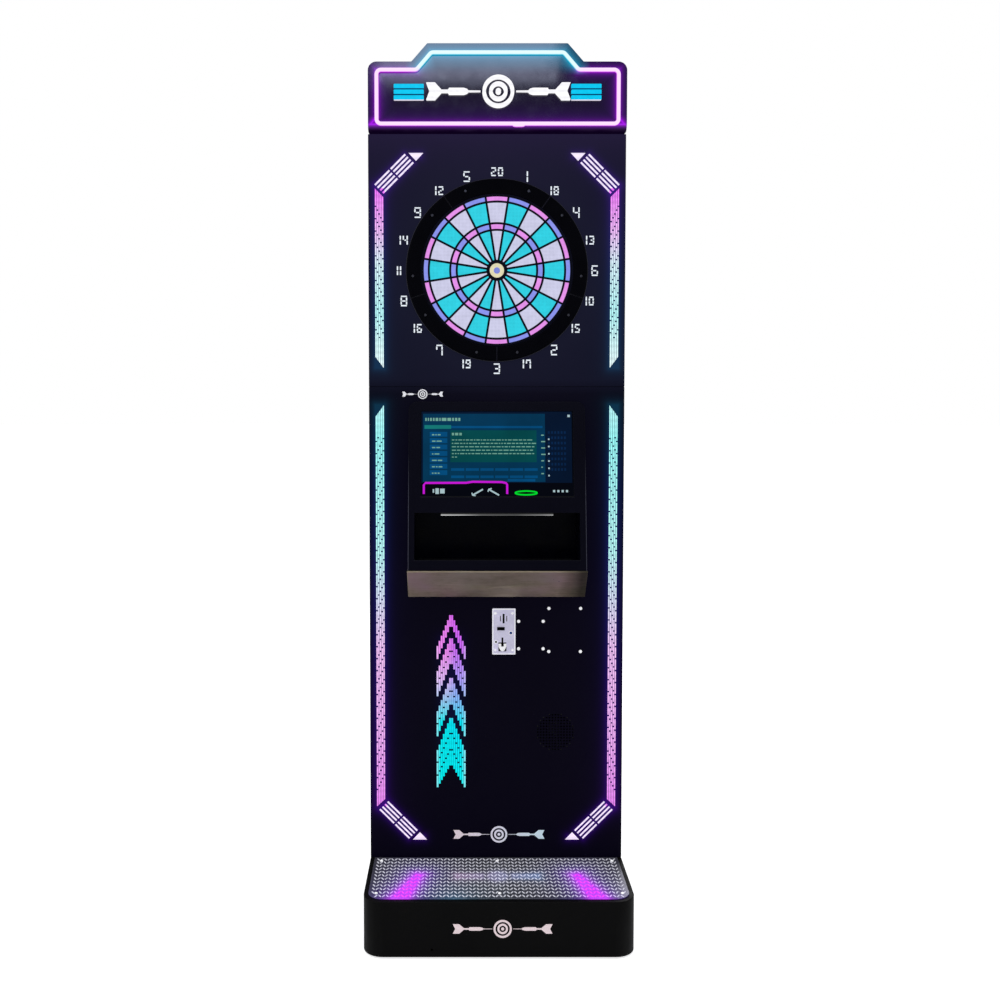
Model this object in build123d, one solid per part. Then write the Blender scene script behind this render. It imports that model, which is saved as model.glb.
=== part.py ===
"""A free-standing electronic dartboard machine, one STEP file per sub-part.

Millimetres, +Z up, the player stands on the -Y side. The origin is on the floor, at the
middle of the machine's footprint.
"""
from build123d import *
from math import asin, ceil, cos, degrees, pi, radians, sin, tan
import os

# ---- driving dimensions -----------------------------------------------------------------
WIDTH = 690.0                 # cabinet and base, side to side
DEPTH = 560.0                 # base front to cabinet back
TOP_Z = 2345.0                # crest of the header
BASE_REACH = 272.0            # how far the base stands out in front of the cabinet
BASE_TOP = 146.0              # deck of the base
SEAM_Z = 1440.0               # joint between the lower and upper cabinet
HEADER_Z = 2114.0             # underside of the header
TARGET_D = 393.7              # 15.5 inch scoring area
TARGET_Z = 1751.6             # centre of the bull above the floor
SEGMENT_TRAVEL = 1.5          # how far a segment is pushed in by a dart

# ---- sheet and board thicknesses --------------------------------------------------------
STEEL_T = 2.0
BOARD_T = 15.0
BASE_T = 2.5
ACRYLIC_T = 3.0
BADGE_T = 1.2

FRONT_Y = -DEPTH / 2 + BASE_REACH     # outer face of the front panels
PANEL_BACK = FRONT_Y + STEEL_T        # inner face of the front panels
BACK_Y = DEPTH / 2                    # back of the cabinet
HALF_W = WIDTH / 2
INNER_X = HALF_W - BOARD_T            # inner face of the side panels

# ---- base -------------------------------------------------------------------------------
FOOT_H = 5.0
FOOT_R = 22.0
FOOT_INSET = 62.0
SENSOR_HOLE = (-170.0, 24.0, 3.0)     # X, height and radius of the hole in the base's front
BASE_EDGE_R = 1.6
BASE_CORNER_R = 52.0
BASE_FRONT_Y = BADGE_T - DEPTH / 2    # the badge on the base is the foremost piece
BASE_REAR_Y = BACK_Y - 2.5            # leaves room for the power inlet's flange
BASE_LIP = 95.0                       # width of the turned-in lip under the base
TREAD_T = 2.5
TREAD_SIDE = 12.0
TREAD_FRONT = 16.0
TREAD_BACK = 7.0
TREAD_CORNER_R = 38.0
TREAD_SCREWS_X = (-313.0, 2.0, 315.0)
TREAD_SCREWS_Y = (FRONT_Y - 227.0, FRONT_Y - 32.0)

# ---- dart target ------------------------------------------------------------------------
SECTORS = 20
HALF_SECTOR = 180.0 / SECTORS
RINGS = {"double": (182.8, 199.0), "outer_single": (125.4, 182.8),
         "treble": (107.8, 125.4), "inner_single": (25.5, 107.8)}
WEB_HALF = 1.6                        # half of the spider's web
SEGMENT_HALF = 2.1                    # from a web's centre line to the segment's side
FLANGE_HALF = 0.7                     # the same for the retaining flange behind the web
FLANGE_CHORD = 0.6
BULL_HOLE_R = 19.4
OUTER_BULL_R = 18.9
OUTER_BULL_BORE = 8.9
INNER_BULL_R = 8.3
SPIDER_R = 203.0
SPIDER_FLANGE_R = 221.0
TARGET_HOLE_R = 204.0
SPIDER_Y = (FRONT_Y - 6.0, FRONT_Y + 14.0)
SEGMENT_FACE_Y = SPIDER_Y[0] + 0.8
FLANGE_Y = (SPIDER_Y[1] + 0.3, SPIDER_Y[1] + 2.0)
PIN_END_Y = FLANGE_Y[1] + 2.0
PIN_R = 2.5
PIN_INSET = 9.0
MAT_T = 1.5
MAT_Y = PIN_END_Y + SEGMENT_TRAVEL + 0.2
LED_PANEL_T = 3.0
BACKPLATE_T = 3.0
SPACER_R = 6.0
SPACER_RING_R = 212.0
SPACERS = 6

# ---- surround ---------------------------------------------------------------------------
SURROUND_ARCS = 5
SURROUND_IN_R = 204.5
SURROUND_OUT_R = 244.5
SURROUND_H = 11.0
SURROUND_GAP = 1.0
SURROUND_SCREW_R = 226.0
SURROUND_SCREW_OFF = 22.0             # degrees either side of an arc's middle

# ---- numerals ---------------------------------------------------------------------------
NUMERALS = (20, 1, 18, 4, 13, 6, 10, 15, 2, 17, 3, 19, 7, 16, 8, 11, 14, 9, 12, 5)
NUMERAL_R = 263.0
STROKE = 3.7
STROKE_GAP = 1.0
SINGLE_DIGIT = (18.0, 28.5)           # width and height of a digit that stands alone
PAIRED_DIGIT = (14.0, 23.5)
DIGIT_SPACE = 4.5
SEVEN_SEGMENTS = {0: "abcdef", 1: "bc", 2: "abged", 3: "abgcd", 4: "fgbc", 5: "afgcd",
                  6: "afgedc", 7: "fabc", 8: "abcdefg", 9: "abcdfg"}

# ---- light strips, corner lamps, chevrons -----------------------------------------------
STRIP_IN_X = 304.4
STRIP_OUT_X = 327.8
STRIP_COLUMNS = 5
STRIP_SLOT_W = 3.8
STRIP_PERIOD = 33.0
STRIP_STAGGER = 10.2                  # from one column's bridges to the next column's
STRIP_BRIDGE = 3.5
STRIP_END = 48.0                      # from a strip's outer end to its first bridge
UPPER_STRIP = {"inner": (1490.0, 1947.0), "outer": (1521.0, 1971.0)}
LOWER_STRIP = {"inner": (308.5, 1391.0), "outer": (287.0, 1359.0)}
LAMP_LINES = 4
LAMP_PITCH = 10.0
LAMP_LINE_W = 5.4
LAMP_LENGTH = 115.0
LAMP_GAP = 5.0
LAMP_ARROW = ((38.5, 55.3), (79.0, 55.3), (58.7, 33.6))
UPPER_LAMP = (275.6, 2009.4)
LOWER_LAMP = (268.0, 249.8)
CHEVRON_X = -123.4
CHEVRON_HALF_W = 40.0
CHEVRON_COLUMNS = 14
CHEVRON_SLOT_W = 4.9
CHEVRON_BRIDGE = 3.6
CHEVRON_MAX_SLOT = 46.0
# height of the apex, the inner apex, the shoulders and the tips of each chevron
CHEVRONS = ((818.0, 786.0, 733.0, 697.0), (754.0, 683.0, 664.0, 594.0),
            (645.0, 571.0, 553.0, 483.0), (534.0, 402.0, 445.0, 341.0))

# ---- monitor hood and dart tray ---------------------------------------------------------
HOOD_HALF_W = 237.5
HOOD_TOP = 1400.0
HOOD_BOTTOM = 952.0
HOOD_TOP_REACH = 8.0
HOOD_REACH = 80.0
HOOD_CORNER_R = 23.0
HOOD_T = 2.5
TRIM_BOTTOM = 871.0
TRIM_BOTTOM_REACH = 14.0
SCREEN_W = 409.8                      # 18.5 inch, 16:9
SCREEN_H = 230.4
SCREEN_TOP = 1374.0
DISPLAY_T = 14.0
DISPLAY_RIM = 12.0
TRAY_HALF_W = 220.5
TRAY_Z = (980.0, 1103.5)
TRAY_T = 2.0
TRAY_LIP = 18.0                       # how far the tray floor lies under its front lip
TRAY_BACK_Y = FRONT_Y + 62.0
TRAY_LIGHT_HALF = 150.0

# ---- coin selector ----------------------------------------------------------------------
COIN_X = 20.5
COIN_Z = 773.6
COIN_W = 63.5
COIN_H = 126.5
COIN_PLATE_T = 3.0
COIN_STUD_X = 47.0
COIN_STUD_Z = 101.0
REJECT_TRAVEL = 4.0
FLAP_PIN_Y = FRONT_Y + 3.75
FLAP_PIN_R = 1.5
PAYMENT_SCREWS = ((94.3, 763.5, 67.0, 75.4), (186.5, 777.4, 86.4, 118.6))

# ---- other visible pieces ---------------------------------------------------------------
SPEAKER = (162.0, 495.0)
SPEAKER_R = 54.0
SPEAKER_PITCH = 8.0
SPEAKER_HOLE_R = 2.5
SCREW_HOLE_R = 2.6
SCREW_SHANK_R = 2.5
SCREW_HEAD_R = 4.4

# ---- header -----------------------------------------------------------------------------
HEADER_HALF_W = 343.0
HEADER_PROUD = 25.0
SHOULDER_Z = 2297.5
SLOPE_OUT_X = 227.7
SLOPE_IN_X = 185.7
HEADER_CORNER_R = 23.0
HEADER_T = 3.0
NEON_R = 5.6
NEON_HALF_W = 319.5
NEON_BOTTOM = 2133.6
NEON_SHOULDER = 2274.0
NEON_CREST = 2319.0
NEON_SLOPE_OUT_X = 214.0
NEON_SLOPE_IN_X = 174.7
NEON_BEND_R = 12.0
EMBLEM_Z = 2217.5
EMBLEM_W = 380.0
EMBLEM_H = 84.0
BAR_X = (194.8, 273.9)
BAR_Z = (2201.2, 2216.0, 2230.8)
BAR_H = 11.5

# ---- service parts ----------------------------------------------------------------------
DOOR_T = 15.0
DOOR_Y = BACK_Y - 8.0                 # outer face of the rear door
DOOR_GAP = 2.5
HINGE_X = INNER_X - 6.0
HINGE_Y = DOOR_Y + 4.0
HINGE_R = 4.0
HINGE_PIN_R = 2.0
HINGE_LENGTH = 60.0
HINGE_HEIGHTS = (320.0, 790.0, 1260.0)
LOCK_Z = SEAM_Z - BOARD_T - 25.0
LOCK_R = 9.0
CAM_LENGTH = 35.0
CAM_T = 3.0
FAN_Z = 1850.0
FAN_X = 0.0
FAN_SIZE = 120.0
FAN_DEPTH = 25.0
ANCHOR_Z = 2050.0
ANCHOR_SPACING = (440.0, 60.0)
ANCHOR_R = 4.5
INLET_X = 230.0
INLET_Z = 78.0
INLET_W = 62.0
INLET_H = 30.0
ROCKER_Y = BASE_REAR_Y - 4.5
ROCKER_PIN_R = 1.2


# ---- geometry helpers -------------------------------------------------------------------
def block(x0, x1, y0, y1, z0, z1):
    """A box between two corners."""
    centre = Pos((x0 + x1) / 2, (y0 + y1) / 2, (z0 + z1) / 2)
    return centre * Box(x1 - x0, y1 - y0, z1 - z0)


def rod_y(x, z, radius, y0, y1):
    """A round bar along Y."""
    return Pos(x, (y0 + y1) / 2, z) * Rot(90, 0, 0) * Cylinder(radius, y1 - y0)


def rod_x(y, z, radius, x0, x1):
    """A round bar along X."""
    return Pos((x0 + x1) / 2, y, z) * Rot(0, 90, 0) * Cylinder(radius, x1 - x0)


def rod_z(x, y, radius, z0, z1):
    """A round bar along Z."""
    return Pos(x, y, (z0 + z1) / 2) * Cylinder(radius, z1 - z0)


def polygon(points, radius=0.0):
    """A closed outline, drawn as if looked at from the front, with rounded corners."""
    if radius:
        return Wire(FilletPolyline(*points, radius=radius, close=True).edges())
    return Wire.make_polygon([(x, z, 0) for x, z in points], close=True)


def circle(x, z, radius):
    return Wire.make_circle(radius, Plane(origin=(x, z, 0)))


def slab(outline, holes, y0, y1):
    """A flat upright piece: an outline with holes, from depth y0 to depth y1."""
    plane = Plane(origin=(0, y1, 0), x_dir=(1, 0, 0), z_dir=(0, -1, 0))
    return plane.location * Solid.extrude(Face(outline, holes), Vector(0, 0, y1 - y0))


def section(points, x0, x1):
    """A piece with one outline, drawn in depth and height, all the way from x0 to x1."""
    plane = Plane(origin=(x0, 0, 0), x_dir=(0, 1, 0), z_dir=(1, 0, 0))
    face = Face(Wire.make_polygon([(y, z, 0) for y, z in points], close=True))
    return plane.location * Solid.extrude(face, Vector(0, 0, x1 - x0))


def mirrored(points, side):
    return [(side * x, z) for x, z in points]


def rectangle(x0, x1, z0, z1):
    return [(x0, z0), (x1, z0), (x1, z1), (x0, z1)]


def group(pieces):
    """Several loose solids kept together as one sub-part."""
    return Compound(children=[solid for piece in pieces for solid in piece.solids()])


def joined(solids):
    """One solid from pieces that touch or overlap."""
    first, *others = solids
    return first.fuse(*others) if others else first


# ---- outlines cut into the front panels -------------------------------------------------
def strip_slots(strip, side, up):
    """The light strip's columns of slots; their bridges make diagonal rows.

    The strip's far end, next to a corner lamp, is its top when up is 1 and its bottom when
    up is -1. The bridges start some way in from that end.
    """
    slots = []
    pitch = (STRIP_OUT_X - STRIP_IN_X) / STRIP_COLUMNS
    far = 1 if up > 0 else 0

    def limit(end, x):
        share = (x - STRIP_IN_X) / (STRIP_OUT_X - STRIP_IN_X)
        return strip["inner"][end] + share * (strip["outer"][end] - strip["inner"][end])

    for column in range(STRIP_COLUMNS):
        x0 = STRIP_IN_X + (column + 0.5) * pitch - STRIP_SLOT_W / 2
        x1 = x0 + STRIP_SLOT_W
        off = STRIP_END + (STRIP_COLUMNS - 1 - column) * STRIP_STAGGER
        span = abs(strip["outer"][1] - strip["outer"][0])
        rows = int((span - off - STRIP_END) / STRIP_PERIOD) + 1
        bridges = [strip["outer"][far] - up * (off + row * STRIP_PERIOD) for row in range(rows)]
        heights = sorted(bridges)
        lows = [None] + [z + STRIP_BRIDGE / 2 for z in heights]
        highs = [z - STRIP_BRIDGE / 2 for z in heights] + [None]
        for low, high in zip(lows, highs):
            left = [limit(0, x0) if low is None else low, limit(1, x0) if high is None else high]
            right = [limit(0, x1) if low is None else low, limit(1, x1) if high is None else high]
            corners = [(x0, left[0]), (x1, right[0]), (x1, right[1]), (x0, left[1])]
            slots.append(polygon(mirrored(corners, side)))
    return slots


def lamp_outlines(centre, side, up):
    """Four split diagonal lines and an arrow head, at one corner of the machine."""
    outlines = []
    slant = cos(radians(45.0))
    for line in range(LAMP_LINES):
        across = (line - (LAMP_LINES - 1) / 2) * LAMP_PITCH
        for half in (-1, 1):
            near = half * LAMP_GAP / 2
            far = half * LAMP_LENGTH / 2
            corners = []
            for along, off in ((near, -1), (far, -1), (far, 1), (near, 1)):
                shift = across + off * LAMP_LINE_W / 2
                corners.append(((along - shift) * slant, (along + shift) * slant))
            outlines.append(corners)
    outlines.append(list(LAMP_ARROW))
    return [polygon([(side * (x - centre[0]), centre[1] + up * z) for x, z in corners])
            for corners in outlines]


def chevron_slots():
    """Upright slots, longest at the apex, that make up the four chevrons."""
    slots = []
    pitch = 2 * CHEVRON_HALF_W / CHEVRON_COLUMNS
    for apex, inner, shoulder, tip in CHEVRONS:
        for column in range(CHEVRON_COLUMNS):
            x = (column - (CHEVRON_COLUMNS - 1) / 2) * pitch
            share = (abs(x) - pitch / 2) / (CHEVRON_HALF_W - pitch)
            top = apex + share * (shoulder - apex)
            bottom = inner + share * (tip - inner)
            count = ceil((top - bottom) / CHEVRON_MAX_SLOT)
            length = (top - bottom + CHEVRON_BRIDGE) / count
            for part in range(count):
                low = bottom + part * length
                corners = rectangle(x - CHEVRON_SLOT_W / 2, x + CHEVRON_SLOT_W / 2,
                                    low, low + length - CHEVRON_BRIDGE)
                slots.append(polygon([(CHEVRON_X + u, z) for u, z in corners]))
    return slots


def digit_bars(digit, x, z, size):
    """The bars of one seven-segment digit, centred on x and z."""
    lit = SEVEN_SEGMENTS[digit]
    half_w = size[0] / 2
    half_h = size[1] / 2
    inner_x = half_w - STROKE
    flat = half_w - STROKE_GAP
    top = half_h - STROKE - STROKE_GAP if "a" in lit else half_h
    foot = half_h - STROKE - STROKE_GAP if "d" in lit else half_h
    bars = {
        "a": rectangle(-flat, flat, half_h - STROKE, half_h),
        "d": rectangle(-flat, flat, -half_h, STROKE - half_h),
        "g": rectangle(-inner_x + STROKE_GAP, inner_x - STROKE_GAP, -STROKE / 2, STROKE / 2),
        "b": rectangle(inner_x, half_w, STROKE_GAP, top),
        "f": rectangle(-half_w, -inner_x, STROKE_GAP, top),
        "c": rectangle(inner_x, half_w, -foot, -STROKE_GAP),
        "e": rectangle(-half_w, -inner_x, -foot, -STROKE_GAP)}
    return [polygon([(x + u, z + w) for u, w in bars[name]]) for name in lit]


def numeral_outlines():
    outlines = []
    for place, number in enumerate(NUMERALS):
        angle = radians(90.0 - place * 360.0 / SECTORS)
        x = NUMERAL_R * cos(angle)
        z = TARGET_Z + NUMERAL_R * sin(angle)
        digits = [int(letter) for letter in str(number)]
        size = SINGLE_DIGIT if len(digits) == 1 else PAIRED_DIGIT
        widths = [STROKE if digit == 1 else size[0] for digit in digits]
        left = x - (sum(widths) + DIGIT_SPACE * (len(digits) - 1)) / 2
        for digit, width in zip(digits, widths):
            centre = left + width - size[0] / 2
            outlines += digit_bars(digit, centre, z, size)
            left += width + DIGIT_SPACE
    return outlines


def speaker_holes():
    holes = []
    reach = int(SPEAKER_R / SPEAKER_PITCH)
    for row in range(-reach, reach + 1):
        for column in range(-reach, reach + 1):
            u = column * SPEAKER_PITCH
            w = row * SPEAKER_PITCH
            if (u * u + w * w) ** 0.5 < SPEAKER_R - SPEAKER_HOLE_R / 2:
                holes.append(circle(SPEAKER[0] + u, SPEAKER[1] + w, SPEAKER_HOLE_R))
    return holes


def payment_points():
    """The eight screws of the two spare payment-device patterns."""
    return [(x + sx * width / 2, z + sz * height / 2)
            for x, z, width, height in PAYMENT_SCREWS
            for sx in (-1, 1) for sz in (-1, 1)]


def surround_points():
    """Where the ten screws of the surround are."""
    points = []
    for arc in range(SURROUND_ARCS):
        middle = 90.0 - arc * 360.0 / SURROUND_ARCS
        for off in (-SURROUND_SCREW_OFF, SURROUND_SCREW_OFF):
            angle = radians(middle + off)
            points.append((SURROUND_SCREW_R * cos(angle),
                           TARGET_Z + SURROUND_SCREW_R * sin(angle)))
    return points


# ---- base -------------------------------------------------------------------------------
def base_plan(inset, corner_r):
    """The base's plan: square at the back, rounded at the front."""
    x = HALF_W - inset
    front = BASE_FRONT_Y + inset
    back = BASE_REAR_Y - inset
    side = corner_r * (1 - cos(radians(45.0)))
    edges = [
        Edge.make_line((x, back, 0), (-x, back, 0)),
        Edge.make_line((-x, back, 0), (-x, front + corner_r, 0)),
        Edge.make_three_point_arc((-x, front + corner_r, 0), (-x + side, front + side, 0),
                                  (-x + corner_r, front, 0)),
        Edge.make_line((-x + corner_r, front, 0), (x - corner_r, front, 0)),
        Edge.make_three_point_arc((x - corner_r, front, 0), (x - side, front + side, 0),
                                  (x, front + corner_r, 0)),
        Edge.make_line((x, front + corner_r, 0), (x, back, 0))]
    return Face(Wire(edges))


def tread_screw_points():
    return [(x, y) for x in TREAD_SCREWS_X for y in TREAD_SCREWS_Y]


def base_shell():
    outer = Solid.extrude(base_plan(0, BASE_CORNER_R), Vector(0, 0, BASE_TOP - FOOT_H))
    outer = Pos(0, 0, FOOT_H) * outer.fillet(BASE_EDGE_R, outer.edges().group_by(Axis.Z)[-1])
    hollow = Solid.extrude(base_plan(BASE_T, BASE_CORNER_R - BASE_T),
                           Vector(0, 0, BASE_TOP - FOOT_H - 2 * BASE_T))
    opening = block(BASE_LIP - HALF_W, HALF_W - BASE_LIP, BASE_LIP - DEPTH / 2,
                    BASE_REAR_Y - BASE_LIP, 0, BASE_TOP / 2)
    inlet = block(INLET_X - INLET_W / 2 + 6, INLET_X + INLET_W / 2 - 6, BASE_REAR_Y - 10,
                  BASE_REAR_Y + 10, INLET_Z - INLET_H / 2 + 3, INLET_Z + INLET_H / 2 - 3)
    screws = [rod_z(x, y, SCREW_HOLE_R, BASE_TOP - 10, BASE_TOP + 10)
              for x, y in tread_screw_points()]
    hollow = Pos(0, 0, FOOT_H + BASE_T) * hollow
    sensor = rod_y(SENSOR_HOLE[0], SENSOR_HOLE[1], SENSOR_HOLE[2], BASE_FRONT_Y - 5,
                   BASE_FRONT_Y + 10)
    return outer.cut(hollow, opening, inlet, sensor, *screws)


def base_feet():
    feet = []
    for sx in (-1, 1):
        for y in (FOOT_INSET - DEPTH / 2, BASE_REAR_Y - FOOT_INSET):
            x = sx * (HALF_W - FOOT_INSET)
            foot = Cylinder(FOOT_R, FOOT_H)
            foot = foot.fillet(1.2, foot.edges().group_by(Axis.Z)[0])
            feet.append(Pos(x, y, FOOT_H / 2) * foot)
    return group(feet)


def tread_plate():
    x = HALF_W - TREAD_SIDE
    front = -DEPTH / 2 + TREAD_FRONT
    back = FRONT_Y - TREAD_BACK
    side = TREAD_CORNER_R * (1 - cos(radians(45.0)))
    r = TREAD_CORNER_R
    edges = [
        Edge.make_line((x, back, 0), (-x, back, 0)),
        Edge.make_line((-x, back, 0), (-x, front + r, 0)),
        Edge.make_three_point_arc((-x, front + r, 0), (-x + side, front + side, 0),
                                  (-x + r, front, 0)),
        Edge.make_line((-x + r, front, 0), (x - r, front, 0)),
        Edge.make_three_point_arc((x - r, front, 0), (x - side, front + side, 0),
                                  (x, front + r, 0)),
        Edge.make_line((x, front + r, 0), (x, back, 0))]
    holes = [Wire.make_circle(SCREW_HOLE_R, Plane(origin=(px, py, 0)))
             for px, py in tread_screw_points()]
    plate = Solid.extrude(Face(Wire(edges), holes), Vector(0, 0, TREAD_T))
    return Pos(0, 0, BASE_TOP) * plate


def bright_screw():
    """A pan-head screw along Z with its head up and the head's seat at z = 0."""
    head = Cylinder(SCREW_HEAD_R, 2.2)
    head = head.fillet(1.4, head.edges().group_by(Axis.Z)[-1])
    socket = Pos(0, 0, 2.2) * Cylinder(1.5, 1.6)
    shank = Pos(0, 0, -5.0) * Cylinder(SCREW_SHANK_R, 10.0)
    return (Pos(0, 0, 1.1) * head).cut(socket).fuse(shank)


def bright_screws():
    floor_screws = [Pos(x, y, BASE_TOP + TREAD_T) * bright_screw()
                    for x, y in tread_screw_points()]
    panel_screws = [Pos(x, FRONT_Y, z) * Rot(90, 0, 0) * bright_screw()
                    for x, z in payment_points()]
    return group(floor_screws + panel_screws)


# ---- cabinet ----------------------------------------------------------------------------
def side_panel(side, z0, z1):
    x = sorted((side * INNER_X, side * HALF_W))
    return block(x[0], x[1], PANEL_BACK, BACK_Y, z0, z1)


def cabinet_floor():
    return block(-INNER_X, INNER_X, PANEL_BACK, DOOR_Y, BASE_TOP, BASE_TOP + BOARD_T)


def mid_plate():
    """The board between the compartments and the rail behind it; the cam turns up between them."""
    cam_y = DOOR_Y - DOOR_T - 2.0 - CAM_T / 2
    board = block(-INNER_X, INNER_X, PANEL_BACK, cam_y - 4.0, SEAM_Z - BOARD_T, SEAM_Z)
    rail = block(-INNER_X, INNER_X, cam_y + 4.0, DOOR_Y, SEAM_Z - BOARD_T, SEAM_Z)
    cable = rod_z(-230.0, 180.0, 30.0, SEAM_Z - 2 * BOARD_T, SEAM_Z + BOARD_T)
    return group([board.cut(cable), rail])


def lower_front_panel():
    outline = polygon(rectangle(-HALF_W, HALF_W, BASE_TOP, SEAM_Z - 0.6), 2.0)
    holes = []
    for side in (-1, 1):
        holes += strip_slots(LOWER_STRIP, side, -1)
        holes += lamp_outlines(LOWER_LAMP, side, -1)
    holes += chevron_slots()
    holes += speaker_holes()
    holes += [circle(x, z, SCREW_HOLE_R) for x, z in payment_points()]
    holes.append(polygon(rectangle(-226.0, 226.0, 958.0, 1392.0), 6.0))
    holes.append(polygon(rectangle(COIN_X - 21.0, COIN_X + 21.0, COIN_Z - 58.0,
                                   COIN_Z + 58.0), 3.0))
    return slab(outline, holes, FRONT_Y, PANEL_BACK)


def upper_front_panel():
    outline = polygon(rectangle(-HALF_W, HALF_W, SEAM_Z + 0.6, HEADER_Z), 2.0)
    holes = [circle(0, TARGET_Z, TARGET_HOLE_R)]
    for side in (-1, 1):
        holes += strip_slots(UPPER_STRIP, side, 1)
        holes += lamp_outlines(UPPER_LAMP, side, 1)
    holes += numeral_outlines()
    holes += [circle(x, z, 1.7) for x, z in surround_points()]
    return slab(outline, holes, FRONT_Y, PANEL_BACK)


def upper_back_panel():
    outline = polygon(rectangle(-INNER_X, INNER_X, SEAM_Z, HEADER_Z))
    holes = []
    for ring, count in ((10.0, 6), (20.0, 12), (30.0, 18), (40.0, 24), (50.0, 30)):
        for spoke in range(count):
            angle = 2 * pi * spoke / count
            holes.append(circle(FAN_X + ring * cos(angle), FAN_Z + ring * sin(angle), 3.0))
    holes += [circle(sx * ANCHOR_SPACING[0] / 2, ANCHOR_Z + sz * ANCHOR_SPACING[1] / 2,
                     ANCHOR_R) for sx in (-1, 1) for sz in (-1, 1)]
    return slab(outline, holes, BACK_Y - STEEL_T, BACK_Y)


# ---- header -----------------------------------------------------------------------------
def header_outline(inset):
    """The header's silhouette: a box with shoulders and a raised crest."""
    x = HEADER_HALF_W - inset
    slope = inset * tan(radians(22.5))
    half = [(x, HEADER_Z + inset), (x, SHOULDER_Z - inset),
            (SLOPE_OUT_X - slope, SHOULDER_Z - inset), (SLOPE_IN_X - slope, TOP_Z - inset)]
    points = half + [(-u, z) for u, z in reversed(half)]
    radii = [4.0, HEADER_CORNER_R - inset, 5.0, 5.0, 5.0, 5.0, HEADER_CORNER_R - inset, 4.0]
    return Wire(FilletPolyline(*points, radius=radii, close=True).edges())


def roll_section(inset, back):
    """The space behind the header's face: flat in front, rolled under at the bottom."""
    front = FRONT_Y - HEADER_PROUD + inset
    radius = HEADER_PROUD - inset
    steps = 12
    curve = [(FRONT_Y - radius * cos(pi / 2 * k / steps),
              HEADER_Z + HEADER_PROUD - radius * sin(pi / 2 * k / steps))
             for k in range(steps + 1)]
    return [(back, TOP_Z + 10)] + [(front, TOP_Z + 10)] + curve + [(back, curve[-1][1])]


def header_face():
    solid = slab(header_outline(0), [], FRONT_Y - HEADER_PROUD, FRONT_Y)
    outer = section(roll_section(0, FRONT_Y), -HALF_W, HALF_W)
    inner = section(roll_section(ACRYLIC_T, FRONT_Y + 1), -HALF_W, HALF_W)
    return (solid & outer).cut(inner)


def header_housing():
    front = FRONT_Y - HEADER_PROUD + ACRYLIC_T
    shell = slab(header_outline(0), [], front, BACK_Y)
    hollow = slab(header_outline(HEADER_T), [], front - 1, BACK_Y - HEADER_T)
    bounds = section([(front, TOP_Z + 10), (front, HEADER_Z + HEADER_PROUD),
                      (FRONT_Y, HEADER_Z + HEADER_PROUD), (FRONT_Y, HEADER_Z - 10),
                      (BACK_Y, HEADER_Z - 10), (BACK_Y, TOP_Z + 10)], -HALF_W, HALF_W)
    return shell.cut(hollow) & bounds


def header_neon():
    half = [(NEON_HALF_W, NEON_BOTTOM), (NEON_HALF_W, NEON_SHOULDER),
            (NEON_SLOPE_OUT_X, NEON_SHOULDER), (NEON_SLOPE_IN_X, NEON_CREST)]
    points = half + [(-x, z) for x, z in reversed(half)]
    path = Wire(FilletPolyline(*points, radius=NEON_BEND_R, close=True).edges())
    start = path @ 0
    tube = Plane(origin=start, z_dir=path % 0) * Circle(NEON_R)
    y = FRONT_Y - HEADER_PROUD - NEON_R
    plane = Plane(origin=(0, y, 0), x_dir=(1, 0, 0), z_dir=(0, -1, 0))
    return plane.location * sweep(tube, path=path)


def dart_outline(tip_x, tail_x, height):
    """A dart seen from the side: point, barrel, shaft and flight."""
    profile = ((0.0, 0.012), (0.22, 0.02), (0.25, 0.10), (0.31, 0.15), (0.58, 0.15),
               (0.60, 0.06), (0.72, 0.06), (0.84, 0.42), (1.0, 0.42), (0.94, 0.0))
    upper = [(tip_x + share * (tail_x - tip_x), half * height) for share, half in profile]
    lower = [(x, -z) for x, z in reversed(upper[:-1])]
    return upper + lower


def emblem(x, z, width, height, y0, y1):
    """A generic badge: a round target with a dart coming in from either side."""
    radius = height / 2
    solids = []
    for outer, inner in ((1.0, 0.78), (0.58, 0.36)):
        solids.append(slab(circle(x, z, radius * outer), [circle(x, z, radius * inner)],
                           y0, y1))
    solids.append(slab(circle(x, z, radius * 0.17), [], y0, y1))
    for side in (-1, 1):
        points = dart_outline(side * radius * 1.12, side * width / 2, height * 0.62)
        solids.append(slab(polygon([(x + u, z + w) for u, w in points]), [], y0, y1))
    return solids


def header_emblem():
    front = FRONT_Y - HEADER_PROUD
    return group(emblem(2.0, EMBLEM_Z, EMBLEM_W, EMBLEM_H, front - 14.0, front))


def header_bars():
    front = FRONT_Y - HEADER_PROUD
    bars = []
    for side in (-1, 1):
        for z in BAR_Z:
            points = mirrored(rectangle(BAR_X[0], BAR_X[1], z - BAR_H / 2, z + BAR_H / 2),
                              side)
            bars.append(slab(polygon(points, 1.5), [], front - 10.0, front))
    return group(bars)


def badges():
    """The three small metal badges: over the monitor, on the lower panel, on the base."""
    return group(emblem(-200.0, 1420.0, 110.0, 26.0, FRONT_Y - BADGE_T, FRONT_Y)
                 + emblem(8.0, 210.0, 250.0, 46.0, FRONT_Y - BADGE_T, FRONT_Y)
                 + emblem(8.0, 78.0, 250.0, 46.0, BASE_FRONT_Y - BADGE_T, BASE_FRONT_Y))


# ---- lamps behind the panels ------------------------------------------------------------
def strip_diffusers():
    solids = []
    for strip in (LOWER_STRIP, UPPER_STRIP):
        low = strip["inner"][0] if strip is UPPER_STRIP else strip["outer"][0]
        high = strip["outer"][1] if strip is UPPER_STRIP else strip["inner"][1]
        for side in (-1, 1):
            x = sorted((side * (STRIP_IN_X - 3.0), side * (INNER_X - 0.5)))
            solids.append(block(x[0], x[1], PANEL_BACK, PANEL_BACK + ACRYLIC_T, low, high))
    return group(solids)


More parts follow.
